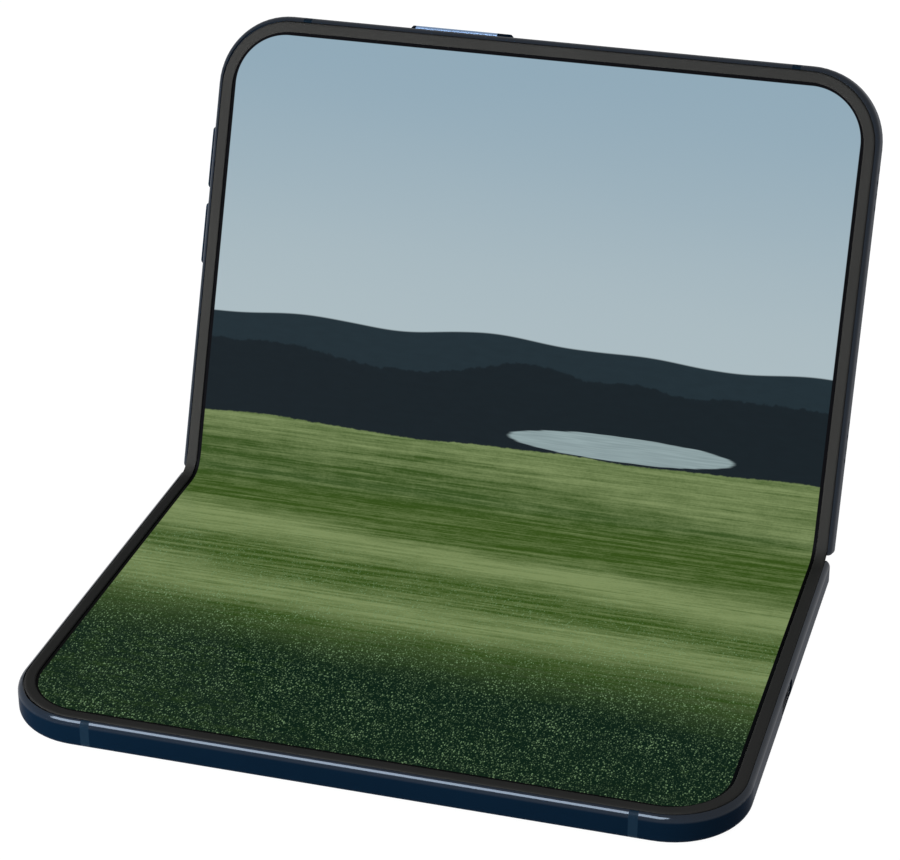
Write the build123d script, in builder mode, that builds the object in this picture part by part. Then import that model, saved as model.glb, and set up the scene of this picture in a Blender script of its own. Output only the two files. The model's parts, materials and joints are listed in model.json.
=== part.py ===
"""Foldable smartphone, standing part-way open with its base half flat on the table.

All sizes are in millimetres. +Z points up, X runs along the fold, -Y points to the viewer. The origin
is the centre of the base half's underside, on the cover glass that the phone rests on.

Each half has a plane of its own on the fold axis: its X runs along the fold, its Y outwards from the
fold, and its Z out of the screen. So a depth of 2 mm behind the axis is a height of -2 on that plane.
"""
import os
from math import cos, radians, sin, tan

from build123d import *

# ---------------------------------------------------------------- driving dimensions
open_angle = 112.0          # angle between the two screens as the phone stands
phone_width = 120.3         # along the fold
half_length = 83.85         # from the fold axis to the outer edge of a half
half_thickness = 5.25       # back glass to the top of the bezel
corner_radius = 13.0        # outer corners, seen from above
front_round = 1.3           # rounding of the frame's front edge
back_round = 1.25           # rounding of the frame's back edge
end_round = 0.8             # rounding of the frame's end beside the fold
closed_gap = 0.2            # between the two bezels when the phone is shut
end_gap = 0.15              # from the fold axis plane to each frame's end face

# screen and bezel, measured outwards from the edge of the lit area
border = 3.4                # lit area to the outside of the frame
panel_margin = 1.2          # lit area to the edge of the screen panel
bezel_inner = 0.65          # lit area to the bezel's inner edge
bezel_outer = 2.25          # lit area to the bezel's outer edge
rim_width = 0.8             # frame rim outside the bezel groove
screen_corner = 10.0        # corner radius of the lit area
bezel_height = 0.25         # bezel above the screen's surface
panel_thickness = 0.45
plate_thickness = 0.25      # steel plate behind the screen
shelf_depth = 0.5           # bezel top to the shelf that it is glued to
floor_thickness = 0.6       # the frame's mid-floor
fit_gap = 0.05              # round glued and seated pieces

# flexible middle of the screen
fold_zone = 7.0             # length of each side of the flexible stretch
bend_radius = 4.2           # of the screen's surface in the bend as it stands

# frame walls, back glass
wall = 1.8
glass_thickness = 0.55
glass_proud = 0.15          # glass beyond the frame's back face
glass_inset = 1.3           # from the frame's outside
glass_fold_edge = 3.2       # from the fold axis to the glass
glass_edge_chamfer = 0.25
hinge_bar = 10.0            # solid end of the frame beside the fold

# hinge spine
spine_radius = 4.5
spine_wall = 0.45
spine_clearance = 0.2       # to the pockets in both frames
spine_side_gap = 0.2        # to the frames' side walls
spine_side_wall = 1.55      # of the frames beside the spine
spine_half_angle = 76.0     # of the shell, each way from its middle
cap_thickness = 1.2
cap_top = 1.2               # depth of the end caps' top below the axis

# hinge units
unit_inset = 16.4           # from the spine's end to the middle of the outer units
unit_offset = 4.25          # each half's wing from the middle of its unit
wing_width = 7.5
wing_thickness = 0.9
wing_inner = 1.6            # from the fold axis to the wing's inner edge
wing_outer = 9.0
rail_offset = 3.8           # each half's arc rail from the middle of its unit
rail_width = 2.4
rail_inner_radius = 2.3
rail_outer_radius = 3.2
rail_start = 30.0           # angle below the half's own plane
rail_end = 145.0
rail_clearance = 0.08
rail_side_clearance = 0.1
block_width = 17.0
block_top = 2.1             # depth of the block's top below the axis
notch_clearance = 0.15
wing_clearance = 0.1
screw_row = 7.5             # from the fold axis
screw_pitch = 4.4
screw_head_radius = 1.0
screw_head_height = 0.5
screw_radius = 0.6
screw_length = 2.2
screw_head_sides = 8
screw_shank_sides = 6

# keys on the lid
key_height = 2.0
key_travel = 0.25
key_clearance = 0.1
key_flange = 0.6            # beyond each end of the slot
key_flange_thickness = 0.5
key_stem = 0.4
key_stem_width = 1.6
key_chamfer = 0.35
power_key_length = 19.0
power_key_inset = 44.05     # from the left side to the key's middle
power_key_proud = 0.5
sensor_length = 15.0
sensor_shift = -0.9         # of its middle from the key's middle
sensor_depth = 0.5
volume_key_length = 11.6
volume_up_inset = 26.65     # from the outer edge to the key's middle
volume_key_pitch = 13.9
volume_key_proud = 0.7
key_depth = 2.7             # of every key's middle behind the axis
switch_width = 3.2
switch_height = 1.8
switch_thickness = 0.8
switch_gap = 0.3

# openings in the walls
sound_hole_radius = 0.55
sound_hole_pitch = 2.17
sound_holes = 4
sound_inset = 19.92         # from the fold and from the outer edge to each row's middle
sound_depth = 3.0
microphone_inset = 41.95    # from the right side
microphone_radius = 0.4
mesh_thickness = 0.15
mesh_margin = 0.45
antenna_inset = 15.85       # from each side to the break's middle
antenna_width = 1.5
antenna_depth = 1.0

# charging port in the base
port_width = 9.0
port_height = 3.2
port_depth = 2.9            # of the port's middle behind the axis
port_gap = 0.05
port_wall = 0.28
port_length = 7.2
port_recess = 0.3
tongue_width = 6.7
tongue_thickness = 0.7
tongue_setback = 0.9
port_back_thickness = 0.8

# pieces inside
cover_screen_thickness = 0.3
cover_screen_margin = 0.5   # to the walls of the cavity
stack_gap = 0.05
battery_thickness = 2.6
battery_fold_gap = 4.0      # to the hinge bar
battery_edge_gap = 8.05     # to the outer wall
battery_speaker_gap = 4.15
battery_board_gap = 2.0
board_thickness = 0.8
magnet_length = 12.0
magnet_width = 2.4
magnet_height = 2.0
magnet_corner_gap = 1.15    # to the start of the rounded corner
motor_length = 10.0
motor_width = 7.0
motor_height = 2.4
motor_gap = 5.0             # to the battery
charging_board_width = 14.0
charging_board_length = 26.0
charging_board_gap = 0.85   # to the port
main_board_width = 13.0
main_board_gap = 1.0        # to the camera island
main_board_end_gap = 4.0    # to the hinge bar and the outer wall
board_corner = 1.0
speaker_width = 10.0
speaker_length = 15.0
speaker_height = 2.8

# camera island on the lid's back
island_length = 44.0
island_width = 20.0
island_side_gap = 2.35      # to the cavity's side
island_end_gap = 3.05       # to the cavity's outer end
island_proud = 1.5
island_seat = 0.6
island_chamfer = 0.6
island_clearance = 0.1
lens_pitch = 17.5
lens_shift = -5.0
lens_ring_radius = 7.8
lens_ring_proud = 1.1
lens_ring_wall = 1.2
lens_ring_chamfer = 0.4
lens_glass_thickness = 0.6
lens_glass_sink = 0.2
flash_radius = 2.2
flash_shift = 16.2
camera_radius = 5.4

# ---------------------------------------------------------------- derived sizes
axis_depth = half_thickness + closed_gap / 2
bezel_top = -closed_gap / 2
screen_top = bezel_top - bezel_height
screen_bottom = screen_top - panel_thickness
plate_bottom = screen_bottom - plate_thickness
shelf_top = bezel_top - shelf_depth
floor_bottom = plate_bottom - floor_thickness
glass_bottom = -axis_depth
glass_top = glass_bottom + glass_thickness
frame_back = glass_bottom + glass_proud
half_width = phone_width / 2
lit_half_width = half_width - border
lit_length = half_length - border
pocket_radius = spine_radius + spine_clearance
pocket_half_width = half_width - spine_side_wall
spine_half_width = pocket_half_width - spine_side_gap
block_radius = spine_radius - spine_wall - fit_gap
unit_pitch = spine_half_width - unit_inset
unit_positions = [-unit_pitch, 0.0, unit_pitch]
power_key_position = power_key_inset - half_width
volume_up_position = half_length - volume_up_inset
volume_down_position = volume_up_position - volume_key_pitch
lower_sound_position = sound_inset
upper_sound_position = half_length - sound_inset
microphone_position = half_width - microphone_inset
antenna_position = half_width - antenna_inset
magnet_position = half_width - corner_radius - magnet_length / 2 - magnet_corner_gap
magnet_row = half_length - wall - magnet_width / 2 - stack_gap
cavity_half_width = half_width - wall
cavity_end = half_length - wall
inner_top = floor_bottom - stack_gap
speaker_x = cavity_half_width - mesh_thickness - stack_gap - speaker_width / 2
island_position = (
    -(cavity_half_width - island_side_gap - island_width / 2),
    cavity_end - island_end_gap - island_length / 2,
)
main_board_left = island_position[0] + island_width / 2 + main_board_gap
main_board_length = cavity_end - hinge_bar - 2 * main_board_end_gap
main_board_position = (main_board_left + main_board_width / 2, (cavity_end + hinge_bar) / 2)
battery_left = main_board_left + main_board_width + battery_board_gap
battery_right = speaker_x - speaker_width / 2 - battery_speaker_gap
battery_start = hinge_bar + battery_fold_gap
battery_end = cavity_end - battery_edge_gap
battery_size = (battery_right - battery_left, battery_end - battery_start)
battery_center = ((battery_right + battery_left) / 2, (battery_end + battery_start) / 2)
port_end = half_width - port_recess - port_length - port_back_thickness
charging_board_position = (charging_board_width / 2 + charging_board_gap - port_end, half_length / 2)
motor_position = (battery_left - motor_gap - motor_length / 2, battery_end - motor_width / 2)

axis_y = half_length / 2
axis_z = axis_depth
tilt = radians(open_angle)
base_plane = Plane(origin=(0, axis_y, axis_z), x_dir=(-1, 0, 0), z_dir=(0, 0, 1))
lid_plane = Plane(origin=(0, axis_y, axis_z), x_dir=(1, 0, 0), z_dir=(0, -sin(tilt), -cos(tilt)))
spine_tilt = radians((180 - open_angle) / 2)
spine_plane = Plane(
    origin=(0, axis_y, axis_z), x_dir=(1, 0, 0), z_dir=(0, -sin(spine_tilt), cos(spine_tilt))
)

os.makedirs("parts", exist_ok=True)


# ---------------------------------------------------------------- shared profiles
def side_plane(half, x=0.0):
    """Cross-section plane at x along the fold: its X runs outwards, its Y out of the screen."""
    return Plane(origin=(x, axis_y, axis_z), x_dir=half.y_dir, z_dir=half.x_dir)


def half_outline(margin, start, radius):
    """Outline of one half: margin is measured from the lit area, start from the fold axis."""
    with BuildSketch() as outline:
        width = 2 * (lit_half_width + margin)
        length = lit_length + margin - start
        with Locations((0, start)):
            Rectangle(width, length, align=(Align.CENTER, Align.MIN))
        fillet(outline.vertices().group_by(Axis.Y)[-1], radius)
    return outline.sketch


def slab(half, outline, bottom, top):
    """Flat plate of the given outline between two heights on a half's plane."""
    with BuildPart() as plate:
        with BuildSketch(half.offset(bottom)):
            add(outline)
        extrude(amount=top - bottom)
    return plate.part


def block(half, center, size, bottom, top, corner=0.0):
    """Upright block on a half's plane, its middle and size given along and away from the fold."""
    with BuildPart() as body:
        with BuildSketch(half.offset(bottom)) as base:
            with Locations(center):
                Rectangle(size[0], size[1])
            if corner > 0:
                fillet(base.vertices(), corner)
        extrude(amount=top - bottom)
    return body.part


def wall_plane(half, x, s, depth, outward):
    """Plane square to a side wall at (x, s), with its Z pointing out of the wall."""
    origin = half.from_local_coords(Vector(x, s, -depth))
    along = half.y_dir if abs(outward.dot(half.x_dir)) > 0.5 else half.x_dir
    return Plane(origin=origin, x_dir=along, z_dir=outward)


def fold_strip(half_x, width, top, bottom):
    """Stretch of the screen through the bend, between two depths, centred at half_x."""
    corner = tan(radians((180 - open_angle) / 2))
    lid_dir = Vector(cos(tilt), sin(tilt))
    lid_out = Vector(sin(tilt), -cos(tilt))
    upper = [(fold_zone, top), (corner * top, top)]
    lower = [(fold_zone, bottom), (corner * bottom, bottom)]
    lid_top = lid_dir * fold_zone + lid_out * top
    lid_bottom = lid_dir * fold_zone + lid_out * bottom
    with BuildPart() as strip:
        with BuildSketch(side_plane(base_plane, half_x)):
            with BuildLine():
                FilletPolyline(*upper, (lid_top.X, lid_top.Y), radius=bend_radius + screen_top - top)
                FilletPolyline(
                    *lower,
                    (lid_bottom.X, lid_bottom.Y),
                    radius=bend_radius + screen_top - bottom,
                )
                Line((fold_zone, top), (fold_zone, bottom))
                Line((lid_top.X, lid_top.Y), (lid_bottom.X, lid_bottom.Y))
            make_face()
        extrude(amount=width / 2, both=True)
    return strip.part


def frame_body(half):
    """Machined frame of one half: rounded outside, bezel shelf, screen bed, back cavity, spine pocket."""
    up = Axis((0, 0, 0), half.z_dir)
    outwards = Axis((0, 0, 0), half.y_dir)
    with BuildPart() as body:
        with BuildSketch(half.offset(frame_back)):
            add(half_outline(border, end_gap, corner_radius))
        extrude(amount=bezel_top - frame_back)
        front_edges = body.faces().sort_by(up)[-1].edges().sort_by(outwards)[1:]
        fillet(front_edges, front_round)
        back_edges = body.faces().sort_by(up)[0].edges().sort_by(outwards)[1:]
        fillet(back_edges, back_round)
        fillet(body.faces().sort_by(outwards)[0].edges(), end_round)
        # shelf for the bezel, open at the fold
        with BuildSketch(half.offset(shelf_top)):
            add(half_outline(border - rim_width, 0, corner_radius - rim_width))
        extrude(amount=shelf_depth + 1, mode=Mode.SUBTRACT)
        # bed for the screen and its plate
        with BuildSketch(half.offset(plate_bottom)):
            add(half_outline(panel_margin + 2 * fit_gap, 0, screen_corner + panel_margin + 2 * fit_gap))
        extrude(amount=shelf_top - plate_bottom, mode=Mode.SUBTRACT)
        # cavity behind the mid-floor
        with BuildSketch(half.offset(frame_back)):
            add(half_outline(border - wall, hinge_bar, corner_radius - wall))
        extrude(amount=floor_bottom - frame_back, mode=Mode.SUBTRACT)
        # seat of the back glass
        with BuildSketch(half.offset(frame_back)):
            add(
                half_outline(
                    border - glass_inset + fit_gap,
                    glass_fold_edge - fit_gap,
                    corner_radius - glass_inset + fit_gap,
                )
            )
        extrude(amount=glass_top - frame_back, mode=Mode.SUBTRACT)
        # pocket that the spine turns in
        with BuildSketch(side_plane(half)):
            Circle(pocket_radius)
        extrude(amount=pocket_half_width, both=True, mode=Mode.SUBTRACT)
    return body.part


def wing_recesses(half, side):
    """Cuts for three hinge wings and their screws in a frame's end bar."""
    with BuildPart() as cuts:
        for unit in unit_positions:
            with BuildSketch(side_plane(half, unit + side * unit_offset)):
                with Locations((wing_inner, plate_bottom + shelf_depth)):
                    Rectangle(
                        wing_outer + wing_clearance - wing_inner,
                        wing_thickness + shelf_depth + fit_gap / 2,
                        align=(Align.MIN, Align.MAX),
                    )
            extrude(amount=wing_width / 2 + wing_clearance, both=True)
        with BuildSketch(half.offset(plate_bottom - wing_thickness)):
            with Locations(*screw_centers(half, side)):
                RegularPolygon(screw_radius + fit_gap, screw_shank_sides)
        extrude(amount=-screw_length)
    return cuts.part


def screw_centers(half, side):
    """Screw positions on a half's plane, two to a wing."""
    sign = 1 if half.x_dir.X > 0 else -1
    return [
        (sign * (unit + side * unit_offset + step * screw_pitch / 2), screw_row)
        for unit in unit_positions
        for step in (-1, 1)
    ]


def hinge_wing(half, side, unit):
    """Wing plate with its arc rail, screwed to one frame and sliding in the spine's block."""
    middle = unit + side * unit_offset
    sign = 1 if half.x_dir.X > 0 else -1
    with BuildPart() as wing:
        with BuildSketch(side_plane(half, middle)):
            with Locations((wing_inner, plate_bottom)):
                Rectangle(wing_outer - wing_inner, wing_thickness, align=(Align.MIN, Align.MAX))
        extrude(amount=wing_width / 2, both=True)
        with BuildSketch(side_plane(half, unit + side * rail_offset)):
            with BuildLine():
                outer = CenterArc((0, 0), rail_outer_radius, -rail_start, rail_start - rail_end)
                inner = CenterArc((0, 0), rail_inner_radius, -rail_start, rail_start - rail_end)
                Line(outer @ 0, inner @ 0)
                Line(outer @ 1, inner @ 1)
            make_face()
        extrude(amount=rail_width / 2, both=True)
        heads = [(sign * (middle + step * screw_pitch / 2), screw_row) for step in (-1, 1)]
        with BuildSketch(half.offset(plate_bottom)):
            with Locations(*heads):
                RegularPolygon(screw_head_radius + fit_gap, screw_head_sides)
        extrude(amount=-screw_head_height, mode=Mode.SUBTRACT)
        with BuildSketch(half.offset(plate_bottom)):
            with Locations(*heads):
                RegularPolygon(screw_radius + fit_gap, screw_shank_sides)
        extrude(amount=-wing_thickness, mode=Mode.SUBTRACT)
    return wing.part


def hinge_screws(half, side):
    """The six flush screws of one half's wings, their round heads and shanks kept to a few sides."""
    with BuildPart() as screws:
        with BuildSketch(half.offset(plate_bottom)):
            with Locations(*screw_centers(half, side)):
                RegularPolygon(screw_head_radius, screw_head_sides)
        extrude(amount=-screw_head_height)
        with BuildSketch(half.offset(plate_bottom - screw_head_height)):
            with Locations(*screw_centers(half, side)):
                RegularPolygon(screw_radius, screw_shank_sides)
        extrude(amount=-screw_length)
    return screws.part


def antenna_cut(half):
    """Two slots across the outer wall for the aerial breaks."""
    with BuildPart() as slots:
        with BuildSketch(half.offset(glass_bottom - 1)):
            with Locations((-antenna_position, half_length), (antenna_position, half_length)):
                Rectangle(antenna_width, 2 * antenna_depth)
        extrude(amount=axis_depth + 2)
    return slots.part


def bezel_body(half):
    """Raised bezel round three sides of one half, lapping the edge of the screen panel."""
    with BuildPart() as body:
        with BuildSketch(half.offset(shelf_top)):
            add(half_outline(bezel_outer, fold_zone, screen_corner + bezel_outer))
            add(half_outline(bezel_inner, 0, screen_corner + bezel_inner), mode=Mode.SUBTRACT)
        extrude(amount=shelf_depth)
        with BuildSketch(half.offset(shelf_top)):
            add(half_outline(panel_margin + fit_gap, 0, screen_corner + panel_margin + fit_gap))
        extrude(amount=screen_top - shelf_top, mode=Mode.SUBTRACT)
    return body.part


def glass_body(half):
    """Back glass with softened outer edges."""
    up = Axis((0, 0, 0), half.z_dir)
    with BuildPart() as body:
        with BuildSketch(half.offset(glass_bottom)):
            add(half_outline(border - glass_inset, glass_fold_edge, corner_radius - glass_inset))
        extrude(amount=glass_thickness)
        chamfer(body.faces().sort_by(up)[0].edges(), glass_edge_chamfer)
    return body.part


def key_body(plane, length, height, proud):
    """Key cap with its retaining flange and stem; the plane lies on the wall's outside."""
    with BuildPart() as body:
        with BuildSketch(plane.offset(-wall - fit_gap)):
            SlotOverall(length - 2 * key_clearance, height - 2 * key_clearance)
        extrude(amount=wall + fit_gap + proud)
        chamfer(body.faces().sort_by(Axis((0, 0, 0), plane.z_dir))[-1].edges(), key_chamfer)
        with BuildSketch(plane.offset(-wall - fit_gap)):
            SlotOverall(length + 2 * key_flange, height)
        extrude(amount=-key_flange_thickness)
        with BuildSketch(plane.offset(-wall - fit_gap - key_flange_thickness)):
            Rectangle(key_stem_width, key_stem_width)
        extrude(amount=-key_stem)
    return body.part


def switch_body(plane):
    """Tactile switch that the key's stem presses."""
    start = wall + fit_gap + key_flange_thickness + key_stem + switch_gap
    with BuildPart() as body:
        with BuildSketch(plane.offset(-start)):
            Rectangle(switch_width, switch_height)
        extrude(amount=-switch_thickness)
    return body.part


def key_slot(plane, length, height):
    """Cut for a key through the wall."""
    with BuildPart() as cut:
        with BuildSketch(plane.offset(1)):
            SlotOverall(length, height)
        extrude(amount=-wall - 2)
    return cut.part


# ---------------------------------------------------------------- planes on the walls
lid_right = Vector(1, 0, 0)
lid_left = Vector(-1, 0, 0)
power_plane = wall_plane(lid_plane, power_key_position, half_length, key_depth, lid_plane.y_dir)
volume_up_plane = wall_plane(lid_plane, -half_width, volume_up_position, key_depth, lid_left)
volume_down_plane = wall_plane(lid_plane, -half_width, volume_down_position, key_depth, lid_left)
lower_sound_plane = wall_plane(lid_plane, half_width, lower_sound_position, sound_depth, lid_right)
upper_sound_plane = wall_plane(lid_plane, half_width, upper_sound_position, sound_depth, lid_right)
microphone_plane = wall_plane(lid_plane, microphone_position, half_length, sound_depth, lid_plane.y_dir)
port_plane = Plane(origin=(half_width, 0, axis_z - port_depth), x_dir=(0, 1, 0), z_dir=(1, 0, 0))

# ================================================================ base half
base_shell = frame_body(base_plane)
base_recesses = wing_recesses(base_plane, -1)
base_antenna_slots = antenna_cut(base_plane)

with BuildPart() as base_frame:
    add(base_shell)
    add(base_recesses, mode=Mode.SUBTRACT)
    add(base_antenna_slots, mode=Mode.SUBTRACT)
    # charging port through the right wall, with room for its shell under the floor
    with BuildSketch(port_plane.offset(1)):
        SlotOverall(port_width, port_height)
    extrude(amount=-port_length - port_back_thickness - port_recess - 1 - port_gap, mode=Mode.SUBTRACT)
base_frame.part.label = "base_frame"
export_step(base_frame.part, "parts/base_frame.step")

with BuildPart() as base_antenna_lines:
    add(base_shell)
    add(base_antenna_slots, mode=Mode.INTERSECT)
base_antenna_lines.part.label = "base_antenna_lines"
export_step(base_antenna_lines.part, "parts/base_antenna_lines.step")

panel_outline = half_outline(panel_margin, fold_zone, screen_corner + panel_margin)
plate_outline = half_outline(panel_margin, pocket_radius + end_gap, screen_corner + panel_margin)

with BuildPart() as base_screen:
    add(slab(base_plane, panel_outline, screen_bottom, screen_top))
base_screen.part.label = "base_screen"
export_step(base_screen.part, "parts/base_screen.step")

with BuildPart() as base_screen_plate:
    add(slab(base_plane, plate_outline, plate_bottom, screen_bottom))
base_screen_plate.part.label = "base_screen_plate"
export_step(base_screen_plate.part, "parts/base_screen_plate.step")

with BuildPart() as base_bezel:
    add(bezel_body(base_plane))
base_bezel.part.label = "base_bezel"
export_step(base_bezel.part, "parts/base_bezel.step")

with BuildPart() as cover_glass:
    add(glass_body(base_plane))
cover_glass.part.label = "cover_glass"
export_step(cover_glass.part, "parts/cover_glass.step")

with BuildPart() as cover_screen:
    add(
        slab(
            base_plane,
            half_outline(
                border - wall - cover_screen_margin,
                hinge_bar + cover_screen_margin,
                corner_radius - wall - cover_screen_margin,
            ),
            glass_top,
            glass_top + cover_screen_thickness,
        )
    )
cover_screen.part.label = "cover_screen"
export_step(cover_screen.part, "parts/cover_screen.step")

with BuildPart() as base_battery:
    add(
        block(
            base_plane,
            battery_center,
            battery_size,
            inner_top - battery_thickness,
            inner_top,
            board_corner,
        )
    )
base_battery.part.label = "base_battery"
export_step(base_battery.part, "parts/base_battery.step")

with BuildPart() as charging_board:
    add(
        block(
            base_plane,
            charging_board_position,
            (charging_board_width, charging_board_length),
            inner_top - board_thickness,
            inner_top,
            board_corner,
        )
    )
charging_board.part.label = "charging_board"
export_step(charging_board.part, "parts/charging_board.step")

with BuildPart() as vibration_motor:
    add(
        block(
            base_plane,
            motor_position,
            (motor_length, motor_width),
            inner_top - motor_height,
            inner_top,
            board_corner,
        )
    )
vibration_motor.part.label = "vibration_motor"
export_step(vibration_motor.part, "parts/vibration_motor.step")

with BuildPart() as base_magnets:
    for x in (-magnet_position, magnet_position):
        size = (magnet_length, magnet_width)
        add(block(base_plane, (x, magnet_row), size, inner_top - magnet_height, inner_top))
base_magnets.part.label = "base_magnets"
export_step(base_magnets.part, "parts/base_magnets.step")

# port shell: a drawn steel sleeve, its mouth set back from the wall
with BuildPart() as usb_c_shell:
    with BuildSketch(port_plane.offset(-port_recess)):
        SlotOverall(port_width - 2 * port_gap, port_height - 2 * port_gap)
        SlotOverall(
            port_width - 2 * port_gap - 2 * port_wall,
            port_height - 2 * port_gap - 2 * port_wall,
            mode=Mode.SUBTRACT,
        )
    extrude(amount=-port_length)
usb_c_shell.part.label = "usb_c_shell"
export_step(usb_c_shell.part, "parts/usb_c_shell.step")

with BuildPart() as usb_c_tongue:
    with BuildSketch(port_plane.offset(-port_recess - port_length)):
        SlotOverall(port_width - 2 * port_gap, port_height - 2 * port_gap)
    extrude(amount=-port_back_thickness)
    with BuildSketch(port_plane.offset(-port_recess - port_length)):
        Rectangle(tongue_width, tongue_thickness)
    extrude(amount=port_length - tongue_setback)
usb_c_tongue.part.label = "usb_c_tongue"
export_step(usb_c_tongue.part, "parts/usb_c_tongue.step")

# ================================================================ lid half
lid_shell = frame_body(lid_plane)
lid_recesses = wing_recesses(lid_plane, 1)
lid_antenna_slots = antenna_cut(lid_plane)
power_slot = key_slot(power_plane, power_key_length, key_height)
volume_up_slot = key_slot(volume_up_plane, volume_key_length, key_height)
volume_down_slot = key_slot(volume_down_plane, volume_key_length, key_height)

with BuildPart() as lid_frame:
    add(lid_shell)
    add(lid_recesses, mode=Mode.SUBTRACT)
    add(lid_antenna_slots, mode=Mode.SUBTRACT)
    add([power_slot, volume_up_slot, volume_down_slot], mode=Mode.SUBTRACT)
    # two rows of sound holes through the right wall
    for sound_plane in (lower_sound_plane, upper_sound_plane):
        with BuildSketch(sound_plane.offset(1)):
            with GridLocations(sound_hole_pitch, 1, sound_holes, 1):
                Circle(sound_hole_radius)
        extrude(amount=-wall - 2, mode=Mode.SUBTRACT)
    # microphone hole through the outer wall
    with BuildSketch(microphone_plane.offset(1)):
        Circle(microphone_radius)
    extrude(amount=-wall - 2, mode=Mode.SUBTRACT)
lid_frame.part.label = "lid_frame"
export_step(lid_frame.part, "parts/lid_frame.step")

with BuildPart() as lid_antenna_lines:
    add(lid_shell)
    add(lid_antenna_slots, mode=Mode.INTERSECT)
lid_antenna_lines.part.label = "lid_antenna_lines"
export_step(lid_antenna_lines.part, "parts/lid_antenna_lines.step")

with BuildPart() as lid_screen:
    add(slab(lid_plane, panel_outline, screen_bottom, screen_top))
lid_screen.part.label = "lid_screen"
export_step(lid_screen.part, "parts/lid_screen.step")

with BuildPart() as lid_screen_plate:
    add(slab(lid_plane, plate_outline, plate_bottom, screen_bottom))
lid_screen_plate.part.label = "lid_screen_plate"
export_step(lid_screen_plate.part, "parts/lid_screen_plate.step")

with BuildPart() as lid_bezel:
    add(bezel_body(lid_plane))
lid_bezel.part.label = "lid_bezel"
export_step(lid_bezel.part, "parts/lid_bezel.step")

# back glass with the opening that the camera island stands in
with BuildPart() as back_glass:
    add(glass_body(lid_plane))
    with BuildSketch(lid_plane.offset(glass_bottom)):
        with Locations(island_position):
            SlotOverall(
                island_length + 2 * island_clearance,
                island_width + 2 * island_clearance,
                rotation=90,
            )
    extrude(amount=glass_thickness, mode=Mode.SUBTRACT)
back_glass.part.label = "back_glass"
export_step(back_glass.part, "parts/back_glass.step")

wide_position = (island_position[0], island_position[1] + lens_shift + lens_pitch / 2)
ultrawide_position = (island_position[0], island_position[1] + lens_shift - lens_pitch / 2)
flash_position = (island_position[0], island_position[1] + flash_shift)
island_face = glass_bottom - island_proud

with BuildPart() as camera_island:
    with BuildSketch(lid_plane.offset(island_face)):
        with Locations(island_position):
            SlotOverall(island_length, island_width, rotation=90)
    extrude(amount=island_proud + glass_thickness + island_seat)
    chamfer(camera_island.faces().sort_by(Axis((0, 0, 0), lid_plane.z_dir))[0].edges(), island_chamfer)
    # wells for the lens rings and the flash window
    with BuildSketch(lid_plane.offset(island_face)):
        with Locations(wide_position, ultrawide_position):
            Circle(lens_ring_radius - lens_ring_wall)
        with Locations(flash_position):
            Circle(flash_radius)
    extrude(amount=island_proud + glass_thickness + island_seat, mode=Mode.SUBTRACT)
camera_island.part.label = "camera_island"
export_step(camera_island.part, "parts/camera_island.step")


def lens_ring(position):
    """Turned ring that stands on the island round one lens."""
    with BuildPart() as ring:
        with BuildSketch(lid_plane.offset(island_face)):
            with Locations(position):
                Circle(lens_ring_radius)
                Circle(lens_ring_radius - lens_ring_wall, mode=Mode.SUBTRACT)
        extrude(amount=-lens_ring_proud)
        outer = ring.faces().sort_by(Axis((0, 0, 0), lid_plane.z_dir))[0].edges().sort_by(SortBy.LENGTH)[-1]
        chamfer(outer, lens_ring_chamfer)
    return ring.part


def lens_glass(position):
    """Glass disc set just inside the ring's rim."""
    top = island_face - lens_ring_proud + lens_glass_sink
    with BuildPart() as disc:
        with BuildSketch(lid_plane.offset(top)):
            with Locations(position):
                Circle(lens_ring_radius - lens_ring_wall)
        extrude(amount=lens_glass_thickness)
    return disc.part


def camera_module(position):
    """Camera barrel under one lens."""
    top = island_face - lens_ring_proud + lens_glass_sink + lens_glass_thickness
    with BuildPart() as module:
        with BuildSketch(lid_plane.offset(top + stack_gap)):
            with Locations(position):
                Circle(camera_radius)
        extrude(amount=inner_top - top - stack_gap)
    return module.part


with BuildPart() as wide_lens_ring:
    add(lens_ring(wide_position))
wide_lens_ring.part.label = "wide_lens_ring"
export_step(wide_lens_ring.part, "parts/wide_lens_ring.step")

with BuildPart() as ultrawide_lens_ring:
    add(lens_ring(ultrawide_position))
ultrawide_lens_ring.part.label = "ultrawide_lens_ring"
export_step(ultrawide_lens_ring.part, "parts/ultrawide_lens_ring.step")

with BuildPart() as wide_lens_glass:
    add(lens_glass(wide_position))
wide_lens_glass.part.label = "wide_lens_glass"
export_step(wide_lens_glass.part, "parts/wide_lens_glass.step")

with BuildPart() as ultrawide_lens_glass:
    add(lens_glass(ultrawide_position))
ultrawide_lens_glass.part.label = "ultrawide_lens_glass"
export_step(ultrawide_lens_glass.part, "parts/ultrawide_lens_glass.step")

with BuildPart() as wide_camera:
    add(camera_module(wide_position))
wide_camera.part.label = "wide_camera"
export_step(wide_camera.part, "parts/wide_camera.step")

with BuildPart() as ultrawide_camera:
    add(camera_module(ultrawide_position))
ultrawide_camera.part.label = "ultrawide_camera"
export_step(ultrawide_camera.part, "parts/ultrawide_camera.step")

with BuildPart() as flash_window:
    with BuildSketch(lid_plane.offset(island_face)):
        with Locations(flash_position):
            Circle(flash_radius)
    extrude(amount=island_proud)
flash_window.part.label = "flash_window"
export_step(flash_window.part, "parts/flash_window.step")

with BuildPart() as lid_battery:
    add(
        block(
            lid_plane,
            battery_center,
            battery_size,
            inner_top - battery_thickness,
            inner_top,
            board_corner,
        )
    )
lid_battery.part.label = "lid_battery"
export_step(lid_battery.part, "parts/lid_battery.step")

with BuildPart() as main_board:
    add(
        block(
            lid_plane,
            main_board_position,
            (main_board_width, main_board_length),
            inner_top - board_thickness,
            inner_top,
            board_corner,
        )
    )
main_board.part.label = "main_board"
export_step(main_board.part, "parts/main_board.step")

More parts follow.
